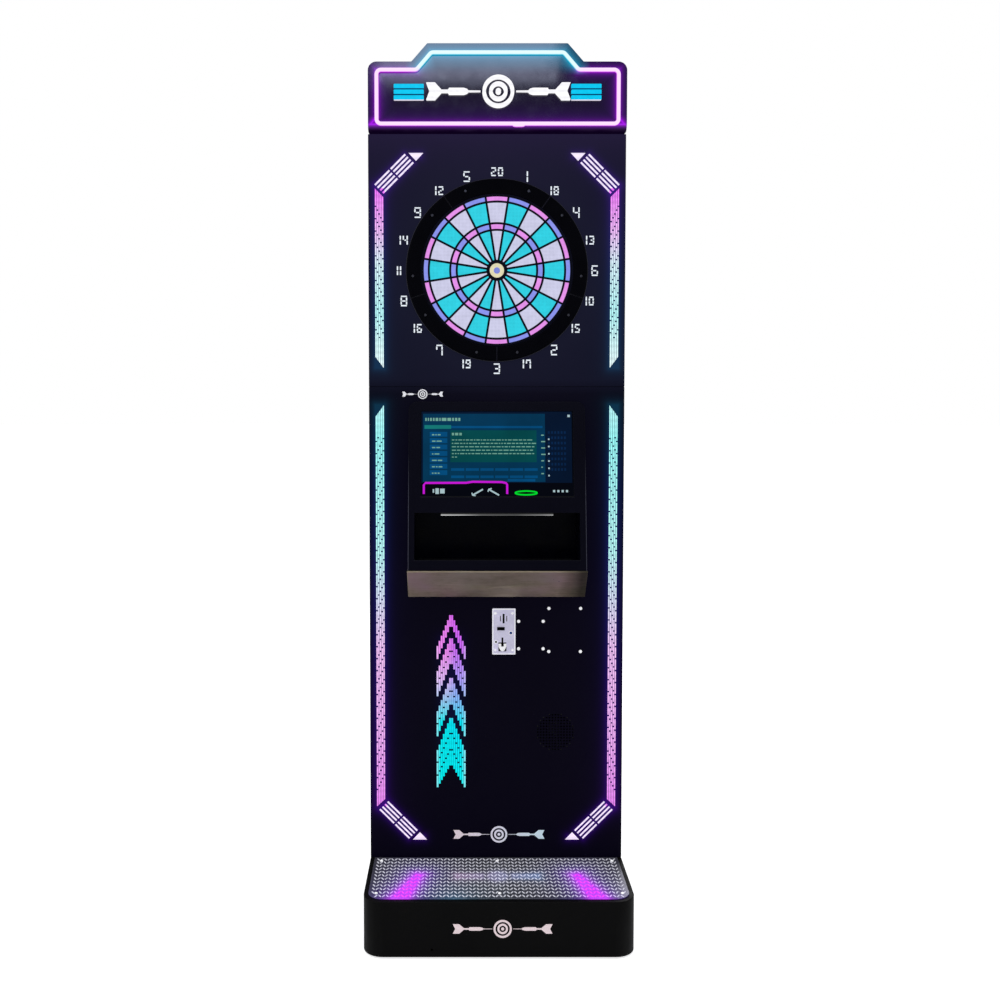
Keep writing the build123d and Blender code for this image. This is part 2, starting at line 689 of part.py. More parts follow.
def lamp_diffusers():
    """An opal plate behind each corner lamp, one layer behind the strip diffusers."""
    reach = LAMP_LENGTH / 2 + 6.0
    wide = (LAMP_LINES - 1) * LAMP_PITCH / 2 + 8.0
    slant = cos(radians(45.0))
    solids = []
    for centre, up in ((UPPER_LAMP, 1), (LOWER_LAMP, -1)):
        for side in (-1, 1):
            corners = [(-reach, -wide), (reach + 37.0, -wide), (reach + 37.0, wide),
                       (-reach, wide)]
            points = [((a - b) * slant, (a + b) * slant) for a, b in corners]
            outline = [(side * (u - centre[0]), centre[1] + up * w) for u, w in points]
            y = PANEL_BACK + ACRYLIC_T
            plate = slab(polygon(outline), [], y, y + ACRYLIC_T)
            room = block(-INNER_X, INNER_X, y - 1, y + 2 * ACRYLIC_T, BASE_TOP + BOARD_T,
                         HEADER_Z)
            solids.append(plate & room)
    return group(solids)


def chevron_diffuser():
    reach = CHEVRON_HALF_W + 6.0
    return block(CHEVRON_X - reach, CHEVRON_X + reach, PANEL_BACK, PANEL_BACK + ACRYLIC_T,
                 CHEVRONS[-1][3] - 8.0, CHEVRONS[0][0] + 8.0)


def numeral_diffuser():
    return slab(circle(0, TARGET_Z, 290.0), [circle(0, TARGET_Z, 234.0)], PANEL_BACK,
                PANEL_BACK + ACRYLIC_T)


def led_strips():
    """Aluminium channels with light-emitting diodes behind the four strips."""
    solids = []
    for z0, z1 in ((300.0, 1380.0), (1500.0, 1960.0)):
        for side in (-1, 1):
            x = sorted((side * (INNER_X - 18.0), side * INNER_X))
            bar = block(x[0], x[1], PANEL_BACK + 16.0, PANEL_BACK + 28.0, z0, z1)
            groove = block(x[0] + 2.0, x[1] - 2.0, PANEL_BACK + 10.0, PANEL_BACK + 26.0,
                           z0 - 1, z1 + 1)
            solids.append(bar.cut(groove))
    return group(solids)


# ---- monitor hood and dart tray ---------------------------------------------------------
def hood_face_y(z):
    """Depth of the hood's sloping front face at height z."""
    share = (HOOD_TOP - z) / (HOOD_TOP - HOOD_BOTTOM)
    return FRONT_Y - HOOD_TOP_REACH - share * (HOOD_REACH - HOOD_TOP_REACH)


def hood_wedge(inset, z0, z1, back):
    """The space under the hood's front face, between two heights."""
    return [(back, z0), (hood_face_y(z0) + inset, z0), (hood_face_y(z1) + inset, z1),
            (back, z1)]


def monitor_hood():
    outer = section(hood_wedge(0, HOOD_BOTTOM, HOOD_TOP, FRONT_Y), -HOOD_HALF_W, HOOD_HALF_W)
    corner = [(-HOOD_HALF_W, HOOD_BOTTOM - HOOD_CORNER_R * 2), (HOOD_HALF_W,
              HOOD_BOTTOM - HOOD_CORNER_R * 2), (HOOD_HALF_W, HOOD_TOP),
              (-HOOD_HALF_W, HOOD_TOP)]
    mask = slab(polygon(corner, HOOD_CORNER_R), [], FRONT_Y - 100.0, FRONT_Y)
    inner_half = HOOD_HALF_W - HOOD_T
    hollow = section(hood_wedge(HOOD_T, HOOD_BOTTOM + HOOD_T, HOOD_TOP - HOOD_T,
                                FRONT_Y + 1), -inner_half, inner_half)
    inner_corner = [(-inner_half, HOOD_BOTTOM - HOOD_CORNER_R * 2),
                    (inner_half, HOOD_BOTTOM - HOOD_CORNER_R * 2),
                    (inner_half, HOOD_TOP - HOOD_T), (-inner_half, HOOD_TOP - HOOD_T)]
    inner_mask = slab(polygon(inner_corner, HOOD_CORNER_R - HOOD_T), [], FRONT_Y - 100.0,
                      FRONT_Y + 10.0)
    window_half = SCREEN_W / 2 + 0.5
    screen = block(-window_half, window_half, FRONT_Y - 100, FRONT_Y + 10,
                   SCREEN_TOP - (SCREEN_H + 1) * cos(tilt()), SCREEN_TOP)
    tray = block(-TRAY_HALF_W, TRAY_HALF_W, FRONT_Y - 100, FRONT_Y + 10, TRAY_Z[0],
                 TRAY_Z[1])
    shell = (outer & mask).cut(hollow & inner_mask)
    return shell.cut(screen, tray)


def tilt():
    """How far the hood's face leans back, in radians."""
    return asin((HOOD_REACH - HOOD_TOP_REACH) / ((HOOD_TOP - HOOD_BOTTOM) ** 2
                + (HOOD_REACH - HOOD_TOP_REACH) ** 2) ** 0.5)


def display_panel():
    """The flat screen in its metal tray, parallel to the hood's face."""
    width = SCREEN_W + 2 * DISPLAY_RIM
    height = SCREEN_H + 2 * DISPLAY_RIM
    panel = Box(width, DISPLAY_T, height)
    driver = Pos(0, DISPLAY_T / 2 + 8.0, 0) * Box(180.0, 16.0, 90.0)
    recess = Pos(0, -DISPLAY_T / 2, 0) * Box(SCREEN_W, 1.0, SCREEN_H)
    middle_z = SCREEN_TOP - SCREEN_H / 2 * cos(tilt())
    middle_y = hood_face_y(middle_z) + HOOD_T / cos(tilt()) + 0.4 + DISPLAY_T / 2
    return Pos(0, middle_y, middle_z) * Rot(-degrees(tilt()), 0, 0) * (
        panel.cut(recess).fuse(driver))


def tray_liner():
    z0 = TRAY_Z[0] - TRAY_LIP
    z1 = TRAY_Z[1] + 1.0
    outer = section(hood_wedge(HOOD_T + 0.4, z0, z1, TRAY_BACK_Y), -TRAY_HALF_W - 2.5,
                    TRAY_HALF_W + 2.5)
    inner = block(-TRAY_HALF_W - 0.5, TRAY_HALF_W + 0.5, FRONT_Y - 120, TRAY_BACK_Y - TRAY_T,
                  z0 + TRAY_T, z1 - TRAY_T + 0.5)
    return outer.cut(inner)


def tray_light():
    z = TRAY_Z[1] - 0.5
    y = hood_face_y(z) + 7.0
    channel = block(-TRAY_LIGHT_HALF, TRAY_LIGHT_HALF, y, y + 10.0, z - 7.0, z)
    return channel.fillet(2.0, channel.edges().filter_by(Axis.X).group_by(Axis.Z)[0])


def tray_trim():
    """The brushed metal chin under the tray, folded from sheet with closed ends."""
    half = HOOD_HALF_W + 2.0
    top = HOOD_BOTTOM - 0.3
    outer = [(FRONT_Y, top), (FRONT_Y - HOOD_REACH - 1.0, top),
             (FRONT_Y - HOOD_REACH - 1.0, top - 3.0),
             (FRONT_Y - TRIM_BOTTOM_REACH, TRIM_BOTTOM), (FRONT_Y, TRIM_BOTTOM)]
    inner = [(FRONT_Y + 1, top - 2), (FRONT_Y - HOOD_REACH + 3.0, top - 2.0),
             (FRONT_Y - TRIM_BOTTOM_REACH + 1.0, TRIM_BOTTOM + 2),
             (FRONT_Y + 1, TRIM_BOTTOM + 2)]
    return section(outer, -half, half).cut(section(inner, 2.0 - half, half - 2.0))


# ---- dart target ------------------------------------------------------------------------
def polar(radius, angle):
    """A point about the bull; angle in degrees, anticlockwise from the right."""
    return (radius * cos(radians(angle)), TARGET_Z + radius * sin(radians(angle)), 0)


def cell_outline(ring, sector, half_gap):
    """One cell of the target, set back half_gap from the centre lines around it."""
    inner = ring[0] + half_gap
    outer = ring[1] - half_gap
    middle = 90.0 - sector * 2 * HALF_SECTOR
    turn_in = HALF_SECTOR - degrees(asin(half_gap / inner))
    turn_out = HALF_SECTOR - degrees(asin(half_gap / outer))
    a = polar(inner, middle - turn_in)
    b = polar(outer, middle - turn_out)
    c = polar(outer, middle + turn_out)
    d = polar(inner, middle + turn_in)
    return Wire([Edge.make_line(a, b),
                 Edge.make_three_point_arc(b, polar(outer, middle), c),
                 Edge.make_line(c, d),
                 Edge.make_three_point_arc(d, polar(inner, middle), a)])


def flange_outline(ring, sector):
    """The retaining flange: as the cell, with a straight inner edge."""
    chord = ring[0] + FLANGE_CHORD
    outer = ring[1] - FLANGE_HALF
    middle = 90.0 - sector * 2 * HALF_SECTOR
    turn_out = HALF_SECTOR - degrees(asin(FLANGE_HALF / outer))
    side = chord * tan(radians(HALF_SECTOR)) - FLANGE_HALF / cos(radians(HALF_SECTOR))
    reach = (chord ** 2 + side ** 2) ** 0.5
    turn_in = degrees(asin(side / reach))
    b = polar(outer, middle - turn_out)
    c = polar(outer, middle + turn_out)
    a = polar(reach, middle - turn_in)
    d = polar(reach, middle + turn_in)
    return Wire([Edge.make_line(a, b),
                 Edge.make_three_point_arc(b, polar(outer, middle), c),
                 Edge.make_line(c, d), Edge.make_line(d, a)])


def segment(ring, sector):
    """One scoring segment: its face, the flange behind the web, and two pins."""
    face = slab(cell_outline(ring, sector, SEGMENT_HALF), [], SEGMENT_FACE_Y, FLANGE_Y[0])
    flange = slab(flange_outline(ring, sector), [], FLANGE_Y[0], FLANGE_Y[1])
    middle = 90.0 - sector * 2 * HALF_SECTOR
    if ring[1] - ring[0] > 4 * PIN_INSET:
        places = [(ring[0] + PIN_INSET, middle), (ring[1] - PIN_INSET, middle)]
    else:
        radius = (ring[0] + ring[1]) / 2
        places = [(radius, middle - HALF_SECTOR / 2), (radius, middle + HALF_SECTOR / 2)]
    pins = []
    for radius, angle in places:
        x, z, _ = polar(radius, angle)
        pins.append(rod_y(x, z, PIN_R, FLANGE_Y[1] - 0.5, PIN_END_Y))
    return joined([face, flange] + pins)


def segment_group(ring_name, first):
    """Every second segment of one ring: those of one colour."""
    ring = RINGS[ring_name]
    return group(segment(ring, sector) for sector in range(first, SECTORS, 2))


def outer_bull():
    ring = slab(circle(0, TARGET_Z, OUTER_BULL_R), [circle(0, TARGET_Z, OUTER_BULL_BORE)],
                SEGMENT_FACE_Y, FLANGE_Y[0])
    flange = slab(circle(0, TARGET_Z, OUTER_BULL_R + 2.5),
                  [circle(0, TARGET_Z, OUTER_BULL_BORE)], FLANGE_Y[0], FLANGE_Y[1])
    pins = [rod_y(sx * 15.0, TARGET_Z, PIN_R, FLANGE_Y[1] - 0.5, PIN_END_Y)
            for sx in (-1, 1)]
    return joined([ring, flange] + pins)


def inner_bull():
    button = rod_y(0, TARGET_Z, INNER_BULL_R, SEGMENT_FACE_Y, PIN_END_Y)
    return button.fillet(1.0, button.edges().group_by(Axis.Y)[0])


def spider():
    cells = [cell_outline(ring, sector, WEB_HALF)
             for ring in RINGS.values() for sector in range(SECTORS)]
    cells.append(circle(0, TARGET_Z, BULL_HOLE_R))
    web = slab(circle(0, TARGET_Z, SPIDER_R), cells, SPIDER_Y[0], SPIDER_Y[1])
    flange = slab(circle(0, TARGET_Z, SPIDER_FLANGE_R), [circle(0, TARGET_Z, SPIDER_R - 1)],
                  PANEL_BACK, PANEL_BACK + 3.0)
    return joined([web, flange])


def sensor_mat():
    return slab(circle(0, TARGET_Z, 200.0), [], MAT_Y, MAT_Y + MAT_T)


def led_backlight():
    y = MAT_Y + MAT_T
    return slab(circle(0, TARGET_Z, 200.0), [circle(0, TARGET_Z, 4.0)], y, y + LED_PANEL_T)


def target_backplate():
    y = MAT_Y + MAT_T + LED_PANEL_T
    plate = slab(circle(0, TARGET_Z, SPIDER_FLANGE_R), [circle(140.0, TARGET_Z, 12.0)], y,
                 y + BACKPLATE_T)
    spacers = []
    for number in range(SPACERS):
        angle = 2 * pi * number / SPACERS
        spacers.append(rod_y(SPACER_RING_R * cos(angle),
                             TARGET_Z + SPACER_RING_R * sin(angle), SPACER_R,
                             PANEL_BACK + 3.0, y + 0.5))
    return joined([plate] + spacers)


def surround_ring():
    """Five bevelled foam arcs that catch stray darts."""
    front = FRONT_Y - SURROUND_H
    outline = [(SURROUND_IN_R, FRONT_Y), (SURROUND_IN_R, front + 1.5),
               (SURROUND_IN_R + 1.5, front), (SURROUND_OUT_R - 6.0, front),
               (SURROUND_OUT_R, front + 5.0), (SURROUND_OUT_R, FRONT_Y)]
    profile = Face(Wire.make_polygon([(r, y, 0) for r, y in outline], close=True))
    sweep_angle = 360.0 / SURROUND_ARCS - degrees(SURROUND_GAP / SURROUND_OUT_R)
    holes = [rod_y(x, z, 1.7, front - 1, FRONT_Y + 1) for x, z in surround_points()]
    arcs = []
    for number in range(SURROUND_ARCS):
        start = 90.0 - number * 360.0 / SURROUND_ARCS - sweep_angle / 2
        arc = revolve(profile, Axis.Y, revolution_arc=sweep_angle)
        arc = Pos(0, 0, TARGET_Z) * Rot(0, -start - sweep_angle, 0) * arc
        arcs.append(arc.cut(*holes))
    return group(arcs)


def surround_screws():
    solids = []
    front = FRONT_Y - SURROUND_H
    for x, z in surround_points():
        head = rod_y(x, z, 3.4, front - 1.2, front)
        shank = rod_y(x, z, 1.5, front - 0.5, PANEL_BACK + 1.0)
        socket = rod_y(x, z, 1.0, front - 2.0, front - 0.5)
        solids.append(head.fuse(shank).cut(socket))
    return group(solids)


# ---- coin selector ----------------------------------------------------------------------
def coin_faceplate():
    """The die-cast plate with the coin entry, the reject lever's window and the cup."""
    x, z = COIN_X, COIN_Z
    front = FRONT_Y - COIN_PLATE_T
    plate = slab(polygon(rectangle(x - COIN_W / 2, x + COIN_W / 2, z - COIN_H / 2,
                                   z + COIN_H / 2), 3.0), [], front, FRONT_Y)
    boss = rod_y(x - 1.0, z + 36.5, 15.5, front - 5.0, FRONT_Y)
    boss = boss.fillet(3.0, boss.edges().group_by(Axis.Y)[0])
    slot = block(x - 2.6, x + 0.6, front - 10, FRONT_Y + 5, z + 23.0, z + 50.0)
    reject_window = block(x - 18.5, x + 2.5, front - 10, FRONT_Y + 5, z + 3.5, z + 12.5)
    service_slot = block(x - 5.5, x - 2.5, front - 10, FRONT_Y + 5, z - 38.0, z - 18.0)
    cup_rim = block(x - 18.0, x + 10.0, front - 9.0, FRONT_Y, z - 57.0, z - 33.0)
    cup = block(x - 15.0, x + 7.0, front - 20.0, FRONT_Y + 5.0, z - 54.0, z - 30.0)
    lamp = rod_y(x + 19.0, z - 4.0, 4.0, front - 10, FRONT_Y + 5)
    studs = [rod_y(x + sx * COIN_STUD_X / 2, z + sz * COIN_STUD_Z / 2, 3.2, front - 1.8,
                   front + 1) for sx in (-1, 1) for sz in (-1, 1)]
    lugs = [block(x + u - 1.5, x + u + 1.5, FRONT_Y - 1.0, FRONT_Y + 6.0, z - 35.0, z - 28.0)
            for u in (-16.5, 8.5)]
    pin_bore = rod_x(FLAP_PIN_Y, z - 31.5, FLAP_PIN_R + 0.05, x - 20.0, x + 12.0)
    side_walls = cup_rim.cut(block(x - 15.0, x + 7.0, front - 20.0, FRONT_Y + 5.0, z - 54.0,
                                   z))
    solid = joined([plate, boss] + studs)
    solid = solid.cut(slot, reject_window, service_slot, lamp, cup)
    return joined([solid, side_walls] + lugs).cut(pin_bore)


def coin_mech_body():
    """The coin acceptor behind the plate: a box with the coin's way through it."""
    x, z = COIN_X, COIN_Z
    box = block(x - 20.0, x + 20.0, FRONT_Y + 6.0, FRONT_Y + 66.0, z - 20.0, z + 56.0)
    chute = block(x - 2.6, x + 0.6, FRONT_Y, FRONT_Y + 50.0, z + 23.0, z + 50.0)
    drop = block(x - 2.6, x + 0.6, FRONT_Y + 22.0, FRONT_Y + 50.0, z - 30.0, z + 50.0)
    collar = block(x - 20.0, x - 3.5, FRONT_Y, FRONT_Y + 6.0, z + 20.0, z + 54.0)
    return joined([box, collar]).cut(chute, drop)


def reject_button():
    x, z = COIN_X, COIN_Z
    front = FRONT_Y - COIN_PLATE_T
    key = block(x - 18.0, x + 2.0, front - REJECT_TRAVEL - 1.0, FRONT_Y + 1.0, z + 4.0,
                z + 12.0)
    return key.fillet(1.5, key.edges().group_by(Axis.Y)[0])


def coin_return_flap():
    """The flap at the back of the coin cup, hung from a pin along its top edge."""
    x, z = COIN_X, COIN_Z
    leaf = block(x - 14.5, x + 6.5, FLAP_PIN_Y - 0.75, FLAP_PIN_Y + 0.75, z - 53.5, z - 31.0)
    pin = rod_x(FLAP_PIN_Y, z - 31.5, FLAP_PIN_R, x - 17.5, x + 9.5)
    return joined([leaf, pin])


def cash_box():
    x0, x1 = COIN_X - 100.0, COIN_X + 100.0
    y0, y1 = FRONT_Y + 12.0, FRONT_Y + 200.0
    z0 = BASE_TOP + BOARD_T
    z1 = z0 + 140.0
    box = block(x0, x1, y0, y1, z0, z1)
    inside = block(x0 + 2, x1 - 2, y0 + 2, y1 - 2, z0 + 2, z1 + 1)
    return box.cut(inside)


# ---- service parts ----------------------------------------------------------------------
def speaker_driver():
    x, z = SPEAKER
    y = PANEL_BACK
    frame = slab(polygon(rectangle(x - 60.0, x + 60.0, z - 60.0, z + 60.0), 10.0),
                 [circle(x, z, 50.0)], y, y + 3.0)
    basket = Pos(x, y + 3.0, z) * Rot(-90, 0, 0) * (
        Pos(0, 0, 17.5) * Cone(58.0, 30.0, 35.0))
    bowl = Pos(x, y + 3.0, z) * Rot(-90, 0, 0) * (
        Pos(0, 0, 15.0) * Cone(50.0, 18.0, 30.0))
    magnet = rod_y(x, z, 36.0, y + 38.0, y + 56.0)
    return joined([frame, basket, magnet]).cut(bowl)


def power_supply():
    box = block(-290.0, -130.0, 120.0, 220.0, BASE_TOP + BOARD_T, BASE_TOP + BOARD_T + 42.0)
    vents = [block(-280.0 + 12.0 * k, -274.0 + 12.0 * k, 140.0, 200.0,
                   BASE_TOP + BOARD_T + 38.0, BASE_TOP + BOARD_T + 50.0) for k in range(10)]
    return box.cut(*vents)


def main_board():
    """The game computer's board, on standoffs on the left side panel."""
    x = -INNER_X
    board = block(x + 8.0, x + 9.6, 60.0, 240.0, 1120.0, 1340.0)
    posts = [rod_x(y, z, 4.0, x, x + 8.5) for y in (75.0, 225.0) for z in (1135.0, 1325.0)]
    cooler = block(x + 9.0, x + 39.0, 110.0, 190.0, 1230.0, 1310.0)
    ports = block(x + 9.0, x + 24.0, 80.0, 220.0, 1128.0, 1150.0)
    memory = block(x + 9.0, x + 34.0, 100.0, 110.0, 1165.0, 1220.0)
    return joined([board, cooler, ports, memory] + posts)


def fan_frame():
    y1 = BACK_Y - STEEL_T
    y0 = y1 - FAN_DEPTH
    half = FAN_SIZE / 2
    outline = polygon(rectangle(FAN_X - half, FAN_X + half, FAN_Z - half, FAN_Z + half), 4.0)
    frame = slab(outline, [circle(FAN_X, FAN_Z, half - 3.0)], y0, y1)
    hub = rod_y(FAN_X, FAN_Z, 20.0, y0, y0 + 3.0)
    struts = [Pos(FAN_X, y0 + 1.5, FAN_Z) * Rot(0, turn, 0) * Pos(38.0, 0, 0)
              * Box(44.0, 3.0, 4.0) for turn in (45.0, 135.0, 225.0, 315.0)]
    bore = rod_y(FAN_X, FAN_Z, 2.06, y0 - 1, y0 + 4)
    return joined([frame, hub] + struts).cut(bore)


def fan_rotor():
    y1 = BACK_Y - STEEL_T - 3.0
    y0 = BACK_Y - STEEL_T - FAN_DEPTH + 3.8
    hub = rod_y(FAN_X, FAN_Z, 19.0, y0, y1)
    shaft = rod_y(FAN_X, FAN_Z, 2.0, y0 - 3.6, y0 + 1)
    blades = [Pos(FAN_X, (y0 + y1) / 2, FAN_Z) * Rot(0, 360.0 * number / 7, 0)
              * Pos(35.5, 0, 0) * Rot(35, 0, 0) * Box(37.0, 1.6, 24.0) for number in range(7)]
    return joined([hub, shaft] + blades)


def rear_door():
    x0 = -INNER_X + DOOR_GAP
    x1 = HINGE_X - 2.0
    z0 = BASE_TOP + BOARD_T + DOOR_GAP
    z1 = SEAM_Z - BOARD_T - DOOR_GAP
    leaf = block(x0, x1, DOOR_Y - DOOR_T, DOOR_Y, z0, z1)
    bore = rod_y(0, LOCK_Z, LOCK_R + 0.08, DOOR_Y - 2 * DOOR_T, DOOR_Y + DOOR_T)
    vents = [block(-120.0, 120.0, DOOR_Y - 2 * DOOR_T, DOOR_Y + DOOR_T, 420.0 + 24.0 * k,
                   428.0 + 24.0 * k) for k in range(5)]
    leaf = leaf.cut(bore, *vents)
    third = HINGE_LENGTH / 6
    knuckles = []
    for z in HINGE_HEIGHTS:
        knuckles.append(rod_z(HINGE_X, HINGE_Y, HINGE_R, z - third + 0.4, z + third - 0.4))
        knuckles.append(block(x1 - 12.0, HINGE_X, DOOR_Y - 2.0, DOOR_Y + 2.5,
                              z - third + 0.4, z + third - 0.4))
    pins = [rod_z(HINGE_X, HINGE_Y, HINGE_PIN_R + 0.06, z - HINGE_LENGTH, z + HINGE_LENGTH)
            for z in HINGE_HEIGHTS]
    return joined([leaf] + knuckles).cut(*pins)


def door_hinges():
    """The three fixed hinge halves with their pins."""
    solids = []
    third = HINGE_LENGTH / 6
    for z in HINGE_HEIGHTS:
        leaf = block(HINGE_X + HINGE_R - 0.5, INNER_X, DOOR_Y - 12.0, HINGE_Y + 2.0,
                     z - HINGE_LENGTH / 2, z + HINGE_LENGTH / 2)
        upper = rod_z(HINGE_X, HINGE_Y, HINGE_R, z + third, z + HINGE_LENGTH / 2)
        lower = rod_z(HINGE_X, HINGE_Y, HINGE_R, z - HINGE_LENGTH / 2, z - third)
        pin = rod_z(HINGE_X, HINGE_Y, HINGE_PIN_R, z - HINGE_LENGTH / 2,
                    z + HINGE_LENGTH / 2)
        room = rod_z(HINGE_X, HINGE_Y, HINGE_R + 0.3, z - third, z + third)
        solids.append(joined([leaf.cut(room), upper, lower, pin]))
    return group(solids)


def door_lock():
    """The lock's turning plug with its key slot, and the cam behind the door."""
    plug = rod_y(0, LOCK_Z, LOCK_R, DOOR_Y - DOOR_T - 2.0, DOOR_Y + 1.0)
    head = rod_y(0, LOCK_Z, LOCK_R + 3.0, DOOR_Y + 0.3, DOOR_Y + 2.5)
    key_slot = block(-0.8, 0.8, DOOR_Y - 4.0, DOOR_Y + 5.0, LOCK_Z - 5.0, LOCK_Z + 5.0)
    y1 = DOOR_Y - DOOR_T - 2.0
    cam = block(-CAM_LENGTH, 9.0, y1 - CAM_T, y1, LOCK_Z - 7.0, LOCK_Z + 7.0)
    return joined([plug, head, cam]).cut(key_slot)


def power_inlet():
    """Mains inlet and switch bezel in the back of the base."""
    x, z = INLET_X, INLET_Z
    flange = block(x - INLET_W / 2, x + INLET_W / 2, BASE_REAR_Y, BACK_Y, z - INLET_H / 2,
                   z + INLET_H / 2)
    body = block(x - INLET_W / 2 + 6.5, x + INLET_W / 2 - 6.5, BASE_REAR_Y - 30.0,
                 BASE_REAR_Y + 1, z - INLET_H / 2 + 3.5, z + INLET_H / 2 - 3.5)
    socket = block(x - 22.0, x + 2.0, BASE_REAR_Y - 16.0, BACK_Y + 1, z - 8.0, z + 8.0)
    pins = [block(x - 10.0 + u - 1.0, x - 10.0 + u + 1.0, BASE_REAR_Y - 16.5,
                  BASE_REAR_Y - 2.0, z - 3.0, z + 3.0) for u in (-7.0, 0.0, 7.0)]
    switch = block(x + 7.0, x + 22.0, BASE_REAR_Y - 16.0, BACK_Y + 1, z - 10.5, z + 10.5)
    bore = rod_x(ROCKER_Y, z, ROCKER_PIN_R + 0.05, x + 5.8, x + 23.2)
    return joined([joined([flange, body]).cut(socket, switch, bore)] + pins)


def power_rocker():
    """The switch's rocker, which tips about a pin along X."""
    x, z = INLET_X + 14.5, INLET_Z
    body = rod_x(ROCKER_Y, z, 7.0, x - 6.8, x + 6.8)
    pin = rod_x(ROCKER_Y, z, ROCKER_PIN_R, x - 8.5, x + 8.5)
    wings = block(x - 6.8, x + 6.8, BASE_REAR_Y - 7.0, BASE_REAR_Y + 0.8, z - 8.6, z + 8.6)
    return joined([body, wings, pin])


# ---- the whole machine ------------------------------------------------------------------
def machine():
    nodes = {
        "base_shell": base_shell(),
        "base_feet": base_feet(),
        "tread_plate": tread_plate(),
        "bright_screws": bright_screws(),
        "lower_side_left": side_panel(-1, BASE_TOP, SEAM_Z),
        "lower_side_right": side_panel(1, BASE_TOP, SEAM_Z),
        "upper_side_left": side_panel(-1, SEAM_Z, HEADER_Z),
        "upper_side_right": side_panel(1, SEAM_Z, HEADER_Z),
        "cabinet_floor": cabinet_floor(),
        "mid_plate": mid_plate(),
        "lower_front_panel": lower_front_panel(),
        "upper_front_panel": upper_front_panel(),
        "upper_back_panel": upper_back_panel(),
        "header_housing": header_housing(),
        "header_face": header_face(),
        "header_neon": header_neon(),
        "header_emblem": header_emblem(),
        "header_bars": header_bars(),
        "badges": badges(),
        "strip_diffusers": strip_diffusers(),
        "lamp_diffusers": lamp_diffusers(),
        "chevron_diffuser": chevron_diffuser(),
        "numeral_diffuser": numeral_diffuser(),
        "led_strips": led_strips(),
        "monitor_hood": monitor_hood(),
        "display_panel": display_panel(),
        "tray_liner": tray_liner(),
        "tray_light": tray_light(),
        "tray_trim": tray_trim(),
        "target_spider": spider(),
        "sensor_mat": sensor_mat(),
        "led_backlight": led_backlight(),
        "target_backplate": target_backplate(),
        "surround_ring": surround_ring(),
        "surround_screws": surround_screws(),
        "outer_bull": outer_bull(),
        "inner_bull": inner_bull(),
        "coin_faceplate": coin_faceplate(),
        "coin_mech_body": coin_mech_body(),
        "reject_button": reject_button(),
        "coin_return_flap": coin_return_flap(),
        "cash_box": cash_box(),
        "speaker_driver": speaker_driver(),
        "power_supply": power_supply(),
        "main_board": main_board(),
        "fan_frame": fan_frame(),
        "fan_rotor": fan_rotor(),
        "rear_door": rear_door(),
        "door_hinges": door_hinges(),
        "door_lock": door_lock(),
        "power_inlet": power_inlet(),
        "power_rocker": power_rocker(),
    }
    for ring_name in RINGS:
        nodes[ring_name + "_a"] = segment_group(ring_name, 0)
        nodes[ring_name + "_b"] = segment_group(ring_name, 1)
    return nodes


os.makedirs("parts", exist_ok=True)
for name, shape in machine().items():
    export_step(shape, f"parts/{name}.step")
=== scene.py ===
"""The looks of a free-standing electronic dartboard machine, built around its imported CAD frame."""
import math
import random

import bmesh
import bpy
from mathutils import Matrix, Vector


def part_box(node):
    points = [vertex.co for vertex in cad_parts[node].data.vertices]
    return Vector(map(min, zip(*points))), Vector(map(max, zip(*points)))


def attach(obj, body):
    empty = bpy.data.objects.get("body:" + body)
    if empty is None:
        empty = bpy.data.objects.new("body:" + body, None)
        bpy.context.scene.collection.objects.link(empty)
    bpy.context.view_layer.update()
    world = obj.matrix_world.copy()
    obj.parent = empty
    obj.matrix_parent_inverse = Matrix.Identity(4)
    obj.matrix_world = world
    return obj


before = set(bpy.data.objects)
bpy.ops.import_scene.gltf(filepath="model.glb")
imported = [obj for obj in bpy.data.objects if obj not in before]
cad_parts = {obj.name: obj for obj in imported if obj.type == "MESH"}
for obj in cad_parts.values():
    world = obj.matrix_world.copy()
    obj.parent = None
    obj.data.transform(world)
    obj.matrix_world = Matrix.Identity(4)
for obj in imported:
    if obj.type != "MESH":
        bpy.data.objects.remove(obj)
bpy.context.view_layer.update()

# ---- places and sizes, in metres ----
FRONT_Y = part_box("lower_front_panel")[0].y
HEADER_FACE_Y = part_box("header_face")[0].y
TARGET_Z = (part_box("target_spider")[0].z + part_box("target_spider")[1].z) / 2
SECTORS = 20
HALF_SECTOR = math.pi / SECTORS
WEB_HALF = 0.0021             # half the spider's bar between two segments
FACE_STEP = 0.0005            # how far a segment's moulded face stands out of its body
RINGS = {"double": (0.1828, 0.199), "outer_single": (0.1254, 0.1828),
         "treble": (0.1078, 0.1254), "inner_single": (0.0255, 0.1078)}
STRIP_X = 0.3161
STRIP_HALF = 0.012
UPPER_STRIP_Z = (1.49, 1.971)
LOWER_STRIP_Z = (0.287, 1.391)
UPPER_LAMP = (0.2756, 2.0094)
LOWER_LAMP = (0.268, 0.2498)
LAMP_HALF = (0.0575, 0.017)
LAMP_ARROW = (0.0587, 0.048)
LED_PITCH = 0.0167
TURN = 2 * math.pi
CHEVRON = (-0.1234, 0.58)
PANEL_SEAM_Z = (1.42, 1.46)
PANEL_TOP_Z = 2.114
NEON_HALF_W = 0.3195
NEON_BOTTOM = 2.1336
NEON_SHOULDER = 2.274
NEON_CREST = 2.319
NEON_SLOPE = (0.214, 0.1747)
HOOD_RADIUS = 0.022


